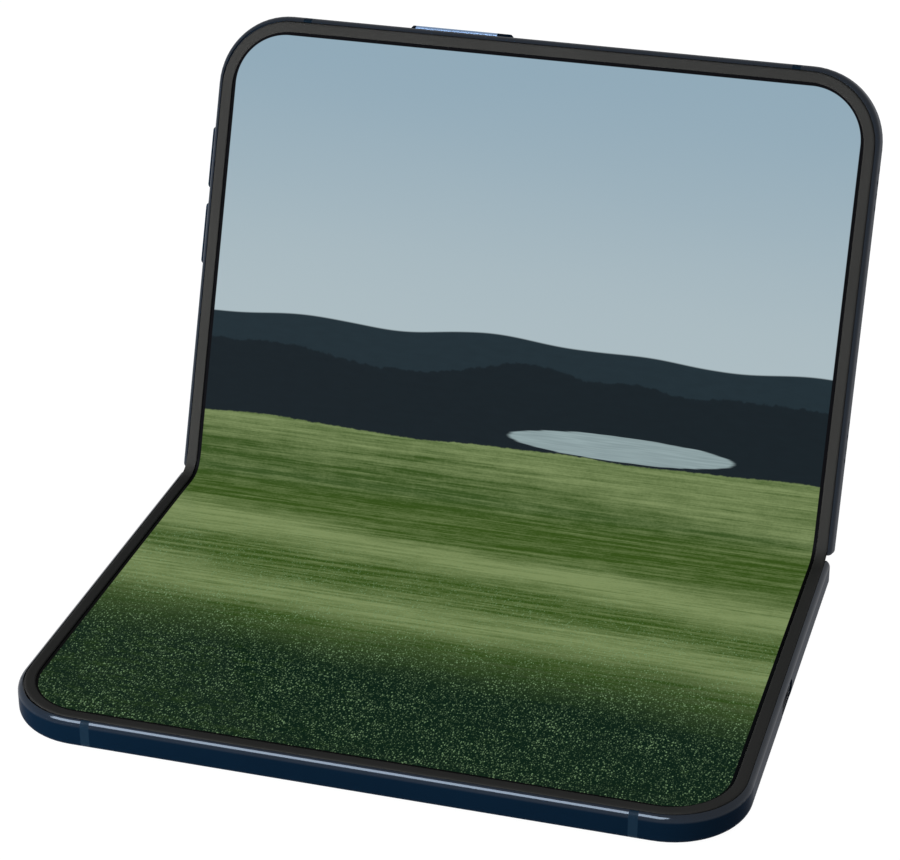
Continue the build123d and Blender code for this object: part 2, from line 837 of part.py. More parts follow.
with BuildPart() as lid_magnets:
    for x in (-magnet_position, magnet_position):
        size = (magnet_length, magnet_width)
        add(block(lid_plane, (x, magnet_row), size, inner_top - magnet_height, inner_top))
lid_magnets.part.label = "lid_magnets"
export_step(lid_magnets.part, "parts/lid_magnets.step")

mesh_length = (sound_holes - 1) * sound_hole_pitch + 2 * sound_hole_radius + 2 * mesh_margin
mesh_height = 2 * sound_hole_radius + 2 * mesh_margin

with BuildPart() as lower_speaker_mesh:
    with BuildSketch(lower_sound_plane.offset(-wall)):
        SlotOverall(mesh_length, mesh_height)
    extrude(amount=-mesh_thickness)
lower_speaker_mesh.part.label = "lower_speaker_mesh"
export_step(lower_speaker_mesh.part, "parts/lower_speaker_mesh.step")

with BuildPart() as upper_speaker_mesh:
    with BuildSketch(upper_sound_plane.offset(-wall)):
        SlotOverall(mesh_length, mesh_height)
    extrude(amount=-mesh_thickness)
upper_speaker_mesh.part.label = "upper_speaker_mesh"
export_step(upper_speaker_mesh.part, "parts/upper_speaker_mesh.step")

with BuildPart() as microphone_mesh:
    with BuildSketch(microphone_plane.offset(-wall)):
        Circle(microphone_radius + mesh_margin)
    extrude(amount=-mesh_thickness)
microphone_mesh.part.label = "microphone_mesh"
export_step(microphone_mesh.part, "parts/microphone_mesh.step")

with BuildPart() as lower_speaker:
    add(
        block(
            lid_plane,
            (speaker_x, lower_sound_position),
            (speaker_width, speaker_length),
            inner_top - speaker_height,
            inner_top,
            board_corner,
        )
    )
lower_speaker.part.label = "lower_speaker"
export_step(lower_speaker.part, "parts/lower_speaker.step")

with BuildPart() as upper_speaker:
    add(
        block(
            lid_plane,
            (speaker_x, upper_sound_position),
            (speaker_width, speaker_length),
            inner_top - speaker_height,
            inner_top,
            board_corner,
        )
    )
upper_speaker.part.label = "upper_speaker"
export_step(upper_speaker.part, "parts/upper_speaker.step")

with BuildPart() as power_switch:
    add(switch_body(power_plane))
power_switch.part.label = "power_switch"
export_step(power_switch.part, "parts/power_switch.step")

with BuildPart() as volume_up_switch:
    add(switch_body(volume_up_plane))
volume_up_switch.part.label = "volume_up_switch"
export_step(volume_up_switch.part, "parts/volume_up_switch.step")

with BuildPart() as volume_down_switch:
    add(switch_body(volume_down_plane))
volume_down_switch.part.label = "volume_down_switch"
export_step(volume_down_switch.part, "parts/volume_down_switch.step")

# ================================================================ keys
power_key = key_body(power_plane, power_key_length, key_height, power_key_proud)

# stretch of the power key's face that is the fingerprint sensor
with BuildPart() as sensor_cut:
    with BuildSketch(power_plane.offset(power_key_proud)):
        with Locations((sensor_shift, 0)):
            Rectangle(sensor_length, key_height)
    extrude(amount=-sensor_depth)

with BuildPart() as power_button:
    add(power_key)
    add(sensor_cut.part, mode=Mode.SUBTRACT)
power_button.part.label = "power_button"
export_step(power_button.part, "parts/power_button.step")

with BuildPart() as fingerprint_sensor:
    add(power_key)
    add(sensor_cut.part, mode=Mode.INTERSECT)
fingerprint_sensor.part.label = "fingerprint_sensor"
export_step(fingerprint_sensor.part, "parts/fingerprint_sensor.step")

with BuildPart() as volume_up_button:
    add(key_body(volume_up_plane, volume_key_length, key_height, volume_key_proud))
volume_up_button.part.label = "volume_up_button"
export_step(volume_up_button.part, "parts/volume_up_button.step")

with BuildPart() as volume_down_button:
    add(key_body(volume_down_plane, volume_key_length, key_height, volume_key_proud))
volume_down_button.part.label = "volume_down_button"
export_step(volume_down_button.part, "parts/volume_down_button.step")

# ================================================================ hinge
for unit_name, unit in zip(("left", "centre", "right"), unit_positions):
    with BuildPart() as base_wing:
        add(hinge_wing(base_plane, -1, unit))
    base_wing.part.label = "base_hinge_wing_" + unit_name
    export_step(base_wing.part, "parts/base_hinge_wing_" + unit_name + ".step")

    with BuildPart() as lid_wing:
        add(hinge_wing(lid_plane, 1, unit))
    lid_wing.part.label = "lid_hinge_wing_" + unit_name
    export_step(lid_wing.part, "parts/lid_hinge_wing_" + unit_name + ".step")

    # block in the spine with one arc groove for each half's rail
    with BuildPart() as hinge_block:
        with BuildSketch(side_plane(spine_plane, unit)):
            Circle(block_radius)
            with Locations((0, -block_top)):
                Rectangle(
                    2 * block_radius,
                    2 * block_radius,
                    align=(Align.CENTER, Align.MIN),
                    mode=Mode.SUBTRACT,
                )
        extrude(amount=block_width / 2, both=True)
        for side in (-1, 1):
            with BuildSketch(side_plane(spine_plane, unit + side * rail_offset)):
                Circle(rail_outer_radius + rail_clearance)
                Circle(rail_inner_radius - rail_clearance, mode=Mode.SUBTRACT)
            extrude(amount=rail_width / 2 + rail_side_clearance, both=True, mode=Mode.SUBTRACT)
    hinge_block.part.label = "hinge_block_" + unit_name
    export_step(hinge_block.part, "parts/hinge_block_" + unit_name + ".step")

with BuildPart() as base_hinge_screws:
    add(hinge_screws(base_plane, -1))
base_hinge_screws.part.label = "base_hinge_screws"
export_step(base_hinge_screws.part, "parts/base_hinge_screws.step")

with BuildPart() as lid_hinge_screws:
    add(hinge_screws(lid_plane, 1))
lid_hinge_screws.part.label = "lid_hinge_screws"
export_step(lid_hinge_screws.part, "parts/lid_hinge_screws.step")

# half-round cover that shows between the two backs as the phone closes
with BuildPart() as spine_cover:
    with BuildSketch(side_plane(spine_plane)):
        with BuildLine():
            outer_arc = CenterArc((0, 0), spine_radius, -90 - spine_half_angle, 2 * spine_half_angle)
            inner_arc = CenterArc(
                (0, 0),
                spine_radius - spine_wall,
                -90 - spine_half_angle,
                2 * spine_half_angle,
            )
            Line(outer_arc @ 0, inner_arc @ 0)
            Line(outer_arc @ 1, inner_arc @ 1)
        make_face()
    extrude(amount=spine_half_width, both=True)
    # notches that the wings pass through when the phone lies open
    for unit in unit_positions:
        with BuildSketch(spine_plane.offset(-block_top)):
            with Locations((unit, 0)):
                Rectangle(block_width + 2 * notch_clearance, 2 * spine_radius)
        extrude(amount=block_top, mode=Mode.SUBTRACT)
spine_cover.part.label = "spine_cover"
export_step(spine_cover.part, "parts/spine_cover.step")

for side, side_name in ((-1, "left"), (1, "right")):
    with BuildPart() as spine_cap:
        with BuildSketch(side_plane(spine_plane, side * (spine_half_width - cap_thickness / 2))):
            Circle(block_radius)
            with Locations((0, -cap_top)):
                Rectangle(
                    2 * block_radius,
                    2 * block_radius,
                    align=(Align.CENTER, Align.MIN),
                    mode=Mode.SUBTRACT,
                )
        extrude(amount=cap_thickness / 2, both=True)
    spine_cap.part.label = "spine_cap_" + side_name
    export_step(spine_cap.part, "parts/spine_cap_" + side_name + ".step")

# ================================================================ flexible middle of the screen
with BuildPart() as fold_screen:
    add(fold_strip(0, 2 * (lit_half_width + panel_margin), screen_top, screen_bottom))
fold_screen.part.label = "fold_screen"
export_step(fold_screen.part, "parts/fold_screen.step")

lap_width = panel_margin + fit_gap - bezel_inner
leg_width = bezel_outer - panel_margin - fit_gap

for side, side_name in ((-1, "left"), (1, "right")):
    with BuildPart() as fold_bezel:
        lap_middle = lit_half_width + bezel_inner + lap_width / 2
        add(fold_strip(side * lap_middle, lap_width, bezel_top, screen_top))
        leg_middle = lit_half_width + bezel_outer - leg_width / 2
        add(fold_strip(side * leg_middle, leg_width, bezel_top, shelf_top))
    fold_bezel.part.label = "fold_bezel_" + side_name
    export_step(fold_bezel.part, "parts/fold_bezel_" + side_name + ".step")
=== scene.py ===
"""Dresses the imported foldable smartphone: inner screen, bezel, camera fronts, finishes and stage.

The phone stands part-way open, its base half flat on the floor. Lengths are metres, and those of patterns
in materials and of the camera fronts' profiles are millimetres. A place on the inner screen is given by x
along the fold and by its reach from the fold, which is negative on the base half and positive on the lid.
"""
import json
from math import cos, pi, radians, sin

import bmesh
import bpy
import numpy as np
from bpy.props import FloatProperty, FloatVectorProperty, IntProperty, PointerProperty
from mathutils import Matrix, Vector


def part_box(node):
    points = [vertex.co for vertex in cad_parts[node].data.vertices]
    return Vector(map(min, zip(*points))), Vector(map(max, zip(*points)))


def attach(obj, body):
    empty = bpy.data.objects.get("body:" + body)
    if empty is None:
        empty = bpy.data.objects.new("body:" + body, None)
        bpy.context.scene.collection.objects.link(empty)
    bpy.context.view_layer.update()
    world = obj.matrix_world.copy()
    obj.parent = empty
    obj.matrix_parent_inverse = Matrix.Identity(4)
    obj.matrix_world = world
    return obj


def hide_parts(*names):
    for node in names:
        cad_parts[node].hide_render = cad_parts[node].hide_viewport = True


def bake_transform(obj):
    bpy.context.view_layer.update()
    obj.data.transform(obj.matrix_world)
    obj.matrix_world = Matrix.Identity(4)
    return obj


bl_info = {
    "name": "Foldable Smartphone",
    "version": (1, 0, 0),
    "blender": (4, 5, 0),
    "location": "3D View > Sidebar > Phone",
    "description": "Builds the screen, bezel, finishes and stage of a foldable smartphone",
    "category": "Add Mesh",
}

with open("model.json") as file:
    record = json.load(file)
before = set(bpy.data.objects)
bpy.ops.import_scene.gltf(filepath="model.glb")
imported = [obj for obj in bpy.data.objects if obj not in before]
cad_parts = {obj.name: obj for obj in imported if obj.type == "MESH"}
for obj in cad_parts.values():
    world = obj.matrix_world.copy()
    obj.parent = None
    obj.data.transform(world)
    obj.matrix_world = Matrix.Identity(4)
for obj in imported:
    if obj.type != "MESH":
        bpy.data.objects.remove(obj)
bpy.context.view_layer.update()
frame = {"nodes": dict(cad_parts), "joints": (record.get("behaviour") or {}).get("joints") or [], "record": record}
nodes = frame["nodes"]
fold_joint = next(joint for joint in frame["joints"] if joint["name"] == "lid_fold")

MM = 0.001
FOLD_POINT = np.array(fold_joint["pos_m"])
OPEN_ANGLE = radians(fold_joint["range_deg"][1])
BASE_OUT = np.array((0.0, -1.0, 0.0))
BASE_UP = np.array((0.0, 0.0, 1.0))
LID_OUT = np.array((0.0, -cos(OPEN_ANGLE), sin(OPEN_ANGLE)))
LID_UP = np.array((0.0, -sin(OPEN_ANGLE), -cos(OPEN_ANGLE)))
FOLD_UP = (BASE_UP + LID_UP) / np.linalg.norm(BASE_UP + LID_UP)


def node_middle(name):
    """Middle of a node's box at rest."""
    low, high = (np.array(corner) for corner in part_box(name))
    return (low + high) / 2


def tint(red, green, blue):
    """Linear colour of a display colour given in 0 to 255."""
    share = np.array((red, green, blue)) / 255
    linear = np.where(share <= 0.04045, share / 12.92, ((share + 0.055) / 1.055) ** 2.4)
    return tuple(float(part) for part in linear)


def length(name, description, default):
    """A length property, shown in the scene's units."""
    return FloatProperty(
        name=name, description=description, default=default, min=0, unit="LENGTH", precision=5
    )


def colour(name, description, default):
    """A colour property."""
    return FloatVectorProperty(
        name=name, description=description, default=default, size=3, min=0, max=1, subtype="COLOR"
    )


# ---------------------------------------------------------------- settings
class PhoneScreenSettings(bpy.types.PropertyGroup):
    """Sizes of the inner screen and its bezel."""

    lit_half_width: length("Lit half width", "Middle of the screen to the side of its lit area", 56.75 * MM)
    lit_reach: length("Lit reach", "Fold to the outer edge of the lit area", 80.45 * MM)
    lit_corner: length("Lit corner", "Corner radius of the lit area", 9.4 * MM)
    margin: length("Panel margin", "Lit area to the edge of the panel", 1.2 * MM)
    depth: length("Screen depth", "Fold axis to the screen's surface", 0.35 * MM)
    thickness: length("Panel thickness", "Thickness of the flexible panel", 0.45 * MM)
    bezel_inner: length("Bezel inner margin", "Lit area to the bezel's inner edge", 0.65 * MM)
    bezel_outer: length("Bezel outer margin", "Lit area to the bezel's outer edge", 2.57 * MM)
    bezel_round: length("Bezel outer rounding", "Width of the slope at the bezel's outer edge", 0.42 * MM)
    bezel_corner: length("Bezel corner", "Corner radius of the lit area that the bezel follows", 10.0 * MM)
    bezel_depth: length("Bezel depth", "Fold axis to the bezel's top", 0.1 * MM)
    bezel_foot: length("Bezel foot", "Fold axis to the bezel's foot in the frame", 0.6 * MM)
    bend_step: length("Bend step", "Spacing of the rows that shape the bend", 5.5 * MM)
    bend_sink: length("Bend sink", "How far the middle row lies behind the others", 0.38 * MM)
    corner_steps: IntProperty(name="Corner steps", description="Rows round each corner", default=10, min=3)
    columns: IntProperty(name="Columns", description="Columns across the screen", default=10, min=2)


class PhoneCameraSettings(bpy.types.PropertyGroup):
    """Sizes of the camera fronts."""

    glass_radius: length("Glass radius", "Radius of each camera's cover glass", 6.58 * MM)
    glass_thickness: length("Glass thickness", "Thickness of each cover glass", 0.16 * MM)
    wide_front: length("Wide front lens", "Radius of the wide camera's front lens", 2.6 * MM)
    ultrawide_front: length("Ultrawide front lens", "Radius of the ultrawide camera's front lens", 1.9 * MM)


class PhonePictureSettings(bpy.types.PropertyGroup):
    """Colours of the generic landscape on the screen."""

    sky_high: colour("High sky", "Sky at the top of the lid", tint(144, 169, 184))
    sky_low: colour("Low sky", "Sky just above the hills", tint(172, 188, 194))
    hill_far: colour("Far hills", "Ridge against the sky", tint(32, 48, 55))
    hill_near: colour("Near hills", "Dark slope in front of it", tint(20, 32, 37))
    lake: colour("Lake", "Still water at the foot of the hills", tint(158, 178, 180))
    meadow_light: colour("Light meadow", "Sunlit grass", tint(124, 141, 92))
    meadow_deep: colour("Deep meadow", "Grass between the light stretches", tint(52, 78, 22))
    meadow_shade: colour("Shaded meadow", "Dark grass at the front", tint(2, 27, 15))
    grass_tip: colour("Grass tips", "Fine light blades in the dark grass", tint(116, 146, 104))


class PhoneFinishSettings(bpy.types.PropertyGroup):
    """Colours of the phone's metals, glass and plastics."""

    frame_navy: colour("Frame navy", "Anodised frame", tint(4, 20, 35))
    frame_edge: colour("Frame edge", "Reflection of the frame at a glancing angle", (0.56, 0.58, 0.64))
    back_navy: colour("Back navy", "Frosted back glass", tint(15, 33, 56))
    aerial_blue: colour("Aerial blue", "Plastic aerial breaks", tint(13, 30, 44))
    bezel_black: colour("Bezel black", "Rubbery bezel", tint(50, 50, 49))
    sensor_silver: colour("Sensor silver", "Fingerprint sensor's face", tint(122, 144, 174))
    steel: colour("Steel", "Hinge, port and plates", tint(150, 152, 156))


class PhoneStageSettings(bpy.types.PropertyGroup):
    """Floor, lamps and camera."""

    floor_size: length("Floor size", "Side of the floor", 6.0)
    camera_lens: FloatProperty(
        name="Lens", description="Focal length in millimetres", default=113.56, unit="CAMERA"
    )
    camera_place: FloatVectorProperty(
        name="Camera place",
        description="Camera position",
        default=(116.85 * MM, -386.36 * MM, 250.97 * MM),
        subtype="TRANSLATION",
        unit="LENGTH",
    )
    camera_azimuth: FloatProperty(
        name="Azimuth", description="Camera's turn to the right", default=radians(16.33), subtype="ANGLE"
    )
    camera_elevation: FloatProperty(
        name="Elevation", description="Camera's height angle", default=radians(27.31), subtype="ANGLE"
    )
    camera_roll: FloatProperty(
        name="Roll", description="Camera's tilt about its view", default=radians(-0.156), subtype="ANGLE"
    )


# ---------------------------------------------------------------- shader expressions
class Wire:
    """One output of a shader node; arithmetic on it adds Math nodes."""

    def __init__(self, graph, socket):
        self.graph = graph
        self.socket = socket

    def __add__(self, other):
        return self.graph.math("ADD", self, other)

    def __radd__(self, other):
        return self.graph.math("ADD", other, self)

    def __sub__(self, other):
        return self.graph.math("SUBTRACT", self, other)

    def __rsub__(self, other):
        return self.graph.math("SUBTRACT", other, self)

    def __mul__(self, other):
        return self.graph.math("MULTIPLY", self, other)

    def __rmul__(self, other):
        return self.graph.math("MULTIPLY", other, self)

    def __truediv__(self, other):
        return self.graph.math("DIVIDE", self, other)

    def __rtruediv__(self, other):
        return self.graph.math("DIVIDE", other, self)

    def __abs__(self):
        return self.graph.math("ABSOLUTE", self)


class Graph:
    """Node tree of one material or world."""

    def __init__(self, tree):
        self.tree = tree
        tree.nodes.clear()

    def node(self, kind, settings=None, values=None, output=0):
        """Adds a node: its settings first, then its sockets' values or links. Returns one output."""
        made = self.tree.nodes.new(kind)
        for name, value in (settings or {}).items():
            setattr(made, name, value)
        for name, value in (values or {}).items():
            if isinstance(value, Wire):
                self.tree.links.new(value.socket, made.inputs[name])
            else:
                made.inputs[name].default_value = value
        return Wire(self, made.outputs[output]) if made.outputs else None

    def math(self, operation, *terms):
        """A Math node on numbers or wires."""
        return self.node("ShaderNodeMath", {"operation": operation}, dict(enumerate(terms)))

    def clamp(self, value):
        """Value kept within 0 and 1."""
        return self.node("ShaderNodeClamp", {}, {"Value": value})

    def smooth(self, value, low, high):
        """Eased step from 0 at low to 1 at high."""
        return self.node(
            "ShaderNodeMapRange",
            {"interpolation_type": "SMOOTHSTEP"},
            {"Value": value, "From Min": low, "From Max": high},
        )

    def blend(self, factor, first, second):
        """Colour between two colours."""
        values = {0: factor, 6: rgba(first), 7: rgba(second)}
        return self.node("ShaderNodeMix", {"data_type": "RGBA"}, values, 2)

    def vary(self, factor, base, low, high):
        """A base colour times a share between low and high."""
        return self.blend(factor, scaled(base, low), scaled(base, high))

    def combine(self, x, y, z=0.0):
        """Vector of three numbers."""
        return self.node("ShaderNodeCombineXYZ", {}, {"X": x, "Y": y, "Z": z})

    def split(self, vector):
        """The three numbers of a vector."""
        made = self.node("ShaderNodeSeparateXYZ", {}, {"Vector": vector})
        return [Wire(self, output) for output in made.socket.node.outputs]

    def noise(self, vector, scale, detail=2.0, roughness=0.5):
        """Fractal noise about 0.5."""
        values = {"Vector": vector, "Scale": scale, "Detail": detail, "Roughness": roughness}
        return self.node("ShaderNodeTexNoise", {}, values, "Fac")

    def sheet_noise(self, x, s, detail=2.0, roughness=0.5):
        """Noise over a sheet, from the two places on it, each in steps of the noise."""
        return self.noise(self.combine(x, s), 1.0, detail, roughness)

    def cells(self, vector):
        """Distance to the nearest of scattered points, one to a unit cell, and that point's own chance."""
        near = self.node("ShaderNodeTexVoronoi", {}, {"Vector": vector, "Scale": 1.0}, "Distance")
        chance = Wire(self, near.socket.node.outputs["Color"])
        return near, self.split(chance)[0]

    def place(self):
        """Place on the object, in metres of the phone's frame."""
        return self.node("ShaderNodeTexCoord", {}, {}, "Object")

    def offset_along(self, direction, origin=np.zeros(3)):
        """Millimetres from an origin along a direction that is square to the fold."""
        _, y, z = self.split(self.place())
        return (y * float(direction[1]) + z * float(direction[2]) - float(origin @ direction)) / MM

    def ripple(self, distance, pitch):
        """Sine wave of the given pitch over a distance."""
        return self.math("SINE", distance * (2 * pi / pitch))

    def outside_box(self, x, y, half_x, half_y, corner):
        """Distance outside a rounded rectangle about the origin; on its edge it is 0, inside it is less."""
        side = self.math("MAXIMUM", abs(x) - (half_x - corner), 0.0)
        end = self.math("MAXIMUM", abs(y) - (half_y - corner), 0.0)
        return self.math("SQRT", side * side + end * end) - corner

    def bump(self, height, distance, strength):
        """Normal tipped by a height of the given scale in metres."""
        values = {"Height": height, "Distance": distance, "Strength": strength}
        return self.node("ShaderNodeBump", {}, values)

    def finish(self, shader):
        """Links the shader to the tree's output."""
        self.node("ShaderNodeOutputMaterial", {}, {"Surface": shader})

    def principled(self, values):
        """The Principled shader as the material's surface."""
        self.finish(self.node("ShaderNodeBsdfPrincipled", {}, values))


def rgba(value):
    """A colour of three numbers with its alpha, or the wire as it is."""
    if isinstance(value, Wire):
        return value
    return (*value, 1.0)[:4]


def scaled(base, share):
    """A colour times a share."""
    return tuple(share * part for part in base)


def new_graph(name):
    """An empty material and its graph."""
    material = bpy.data.materials.new(name)
    material.use_nodes = True
    return material, Graph(material.node_tree)


# ---------------------------------------------------------------- finishes
# the polished rounding at a frame's front lies between these depths behind the fold axis
POLISH_TOP = 0.95
POLISH_FOOT = 1.4


def anodised_finish(name, base, edge, roughness=0.14, coat=0.03, grain=1.0, sheen=0.2, up=None):
    """Dyed anodised aluminium: bead-blasted grain, faint cloudiness in the dye, thin sealed skin.

    The dye lies on the metal as a colour of its own, and sheen is the share that the metal shows through.
    With up, the direction that a half faces, the rounding at its front is polished and sealed thicker.
    """
    material, graph = new_graph(name)
    place = graph.place()
    if up is not None:
        polish = graph.smooth(graph.offset_along(up, FOLD_POINT), -POLISH_FOOT, -POLISH_TOP)
        coat = coat + 0.46 * polish
    cloud = graph.noise(place, 60.0, 3.0)
    blast = graph.noise(place, 9000.0, 2.0, 0.6)
    graph.principled(
        {
            "Base Color": graph.vary(cloud, base, 0.86, 1.14),
            "Metallic": sheen,
            "Roughness": roughness + 0.06 * (blast - 0.5) + 0.04 * (cloud - 0.5),
            "Specular IOR Level": 0.0,
            "Specular Tint": rgba(edge),
            "Coat Weight": coat,
            "Coat Roughness": 0.1,
            "Normal": graph.bump(blast, 1.5e-6 * grain, 0.5),
        }
    )
    return material


def steel_finish(name, base, roughness):
    """Machined steel with fine marks along the fold."""
    material, graph = new_graph(name)
    place = graph.place()
    x, y, z = graph.split(place)
    marks = graph.noise(graph.combine(x * 60.0, y * 6000.0, z * 6000.0), 1.0, 3.0)
    stain = graph.noise(place, 220.0, 3.0)
    graph.principled(
        {
            "Base Color": graph.vary(stain, base, 0.82, 1.08),
            "Metallic": 1.0,
            "Roughness": roughness + 0.2 * (marks - 0.5) + 0.08 * (stain - 0.5),
            "Normal": graph.bump(marks, 3e-6, 0.6),
        }
    )
    return material


def plastic_finish(name, base, roughness, grain=7e-6, scale=5000.0, level=0.5):
    """Moulded plastic or rubber with a fine spark-eroded grain."""
    material, graph = new_graph(name)
    place = graph.place()
    pits = graph.noise(place, scale, 2.0, 0.6)
    cloud = graph.noise(place, 90.0, 2.0)
    graph.principled(
        {
            "Base Color": graph.vary(cloud, base, 0.88, 1.12),
            "Roughness": roughness + 0.16 * (pits - 0.5),
            "Specular IOR Level": level,
            "Normal": graph.bump(pits, grain, 0.6),
        }
    )
    return material


def glass_finish(name, base, roughness, level=0.5, frost=0.0):
    """Dark backed glass: nearly black or dyed body under a polished or frosted face."""
    material, graph = new_graph(name)
    place = graph.place()
    haze = graph.noise(place, 40.0, 3.0)
    etch = graph.noise(place, 12000.0, 1.0)
    graph.principled(
        {
            "Base Color": graph.vary(haze, base, 0.9, 1.1),
            "Roughness": roughness + 0.02 * (haze - 0.5) + frost * 0.3 * (etch - 0.5),
            "Specular IOR Level": level,
            "Normal": graph.bump(etch, 2e-6 * frost, 0.5),
        }
    )
    return material


def disc_reach(graph, centre):
    """Distance in millimetres from the lid's normal through a centre."""
    x, _, _ = graph.split(graph.place())
    across = (x - float(centre[0])) / MM
    along = graph.offset_along(LID_OUT, centre)
    return graph.math("SQRT", across * across + along * along)


def barrel_finish(name, centre, front_radius):
    """Lens barrel: violet-blue coated front lens, turned black rings and a fine steel line round the lens."""
    material, graph = new_graph(name)
    reach = disc_reach(graph, centre)
    lens = graph.smooth(reach, front_radius + 0.05, front_radius - 0.05)
    line = graph.smooth(abs(reach - (front_radius + 0.3)), 0.14, 0.08)
    tone = graph.blend(graph.smooth(reach, 0.0, front_radius), tint(16, 44, 104), tint(74, 26, 104))
    black = graph.blend(graph.noise(graph.place(), 900.0), tint(9, 9, 10), tint(16, 16, 18))
    shade = graph.blend(line, graph.blend(lens, black, tone), tint(150, 152, 158))
    grooves = 0.5 + 0.5 * graph.ripple(reach, 0.16) * (1.0 - lens)
    graph.principled(
        {
            "Base Color": shade,
            "Metallic": line,
            "Roughness": 0.38 - 0.34 * lens - 0.12 * line,
            "Specular IOR Level": 0.1,
            "Normal": graph.bump(grooves, 4e-6, 0.5),
        }
    )
    return material


def clear_finish(name):
    """Clear cover glass, coated against reflections, with faint smears."""
    material, graph = new_graph(name)
    smear = graph.noise(graph.place(), 300.0, 3.0)
    graph.principled(
        {
            "Base Color": graph.blend(smear, tint(6, 8, 12), tint(12, 14, 20)),
            "Roughness": 0.02 + 0.05 * smear,
            "Specular IOR Level": 0.5,
            "Alpha": 0.24 + 0.06 * smear,
        }
    )
    return material


def flash_finish(name, centre):
    """Flash window: ringed lens over a warm light source, in a pale diffuser."""
    material, graph = new_graph(name)
    reach = disc_reach(graph, centre)
    source = graph.smooth(reach, 1.15, 0.8)
    diffuser = graph.blend(graph.noise(graph.place(), 700.0), tint(214, 212, 204), tint(232, 230, 222))
    rings = 0.5 + 0.5 * graph.ripple(reach, 0.24)
    graph.principled(
        {
            "Base Color": graph.blend(source, diffuser, tint(226, 190, 104)),
            "Roughness": 0.16 + 0.08 * source,
            "Normal": graph.bump(rings, 2.5e-5, 0.7),
        }
    )
    return material


def perforated_finish(name, base, pitch=0.26):
    """Fine steel mesh: rows of holes at one pitch in millimetres, painted dark as the shade behind them."""
    material, graph = new_graph(name)
    x, _, _ = graph.split(graph.place())
    along = graph.ripple(graph.offset_along(LID_OUT), pitch)
    high = graph.ripple(graph.offset_along(LID_UP), pitch)
    across = graph.ripple(x / MM, pitch)
    shaded_hole = graph.smooth(along * high + along * across + high * across, 0.35, 0.5)
    wire = graph.vary(graph.noise(graph.place(), 2000.0), base, 0.8, 1.0)
    graph.principled(
        {
            # the holes' near-black colour is painted shade, standing for the hollow behind the mesh
            "Base Color": graph.blend(shaded_hole, wire, tint(6, 6, 7)),
            "Metallic": 1.0 - shaded_hole,
            "Roughness": 0.4 + 0.3 * shaded_hole,
            "Normal": graph.bump(1.0 - shaded_hole, 4e-5, 0.6),
        }
    )
    return material


def tongue_finish(name, middle):
    """Port tongue: black plastic, on whose two faces gilt contacts lie at half a millimetre's pitch."""
    material, graph = new_graph(name)
    _, y, z = graph.split(graph.place())
    on_face = graph.smooth(abs(z - float(middle[2])) / MM, 0.3, 0.34)
    contact = on_face * graph.smooth(graph.ripple(y / MM, 0.5), 0.1, 0.35)
    pits = graph.noise(graph.place(), 5000.0)
    black = graph.blend(pits, tint(14, 14, 15), tint(20, 20, 22))
    gilt = graph.blend(pits, tint(196, 160, 86), tint(222, 188, 112))
    graph.principled(
        {
            "Base Color": graph.blend(contact, black, gilt),
            "Metallic": contact,
            "Roughness": 0.5 - 0.22 * contact + 0.1 * (pits - 0.5),
            "Normal": graph.bump(contact, 2e-5, 0.6),
        }
    )
    return material


def board_finish(name):
    """Circuit board: green mask over copper runs, with bare tinned pads."""
    material, graph = new_graph(name)
    x, y, z = graph.split(graph.place())
    across, along = x / MM, (y + z) / MM
    pad, chance = graph.cells(graph.combine(across * 0.9, along * 0.9))
    pads = graph.smooth(pad, 0.24, 0.2) * graph.smooth(chance, 0.55, 0.6)
    runs = graph.smooth(abs(graph.noise(graph.combine(across, along), 0.35, 2.0) - 0.5), 0.03, 0.015)
    mask = graph.blend(0.7 * runs, tint(10, 50, 32), tint(22, 78, 50))
    graph.principled(
        {
            "Base Color": graph.blend(pads, mask, tint(176, 172, 160)),
            "Metallic": 0.9 * pads,
            "Roughness": 0.42 - 0.12 * pads,
            "Normal": graph.bump(runs + pads, 1.5e-5, 0.5),
        }
    )
    return material


def display_glass_finish(name, half_width, near, far, corner):
    """Glass over the outer display: pure black border, and a faintly lighter panel in a rounded rectangle.

    The rectangle spans half_width to each side and near to far from the fold, on the base half.
    """
    material, graph = new_graph(name)
    x, y, _ = graph.split(graph.place())
    middle = float(FOLD_POINT[1]) / MM - (near + far) / 2
    outside = graph.outside_box(x / MM, middle - y / MM, half_width, (far - near) / 2, corner)
    panel = graph.smooth(outside, 0.15, -0.15)
    smear = graph.noise(graph.place(), 40.0, 3.0)
    graph.principled(
        {
            "Base Color": graph.blend(panel, tint(3, 3, 4), tint(13, 15, 20)),
            "Roughness": 0.04 + 0.05 * smear,
            "Specular IOR Level": 0.25,
        }
    )
    return material


# ---------------------------------------------------------------- landscape on the screen
def hills_and_sky(graph, picture, x, s, trees):
    """Sky paler towards the hills, with faint high cloud, over two ridges.

    Each ridge's crest is noise along x, and the nearer one has a ragged tree line.
    """
    cloud = graph.sheet_noise(x * 0.012, s * 0.05, 3.0)
    paleness = graph.clamp(graph.smooth(s, 26.0, 84.0) + 0.12 * (cloud - 0.5))
    sky = graph.blend(paleness, picture.sky_low, picture.sky_high)
    far_wave = graph.sheet_noise(x * 0.022 + 3.7, 0.0, 1.0)
    near_wave = graph.sheet_noise(x * 0.03 + 11.2, 0.0, 1.5)
    far_crest = 30.5 + 9.0 * (far_wave - 0.5)
    near_crest = 25.0 + 13.0 * (near_wave - 0.5) + 1.4 * (trees - 0.5)
    slope = graph.sheet_noise(x * 0.3, s * 1.1, 4.0)
    far_hill = graph.blend(0.5 * slope, picture.hill_far, picture.hill_near)
    near_hill = graph.vary(0.5 * slope, picture.hill_near, 1.0, 0.5)
    view = graph.blend(graph.smooth(far_crest - s, -0.15, 0.15), sky, far_hill)
    return graph.blend(graph.smooth(near_crest - s, -0.2, 0.2), view, near_hill)


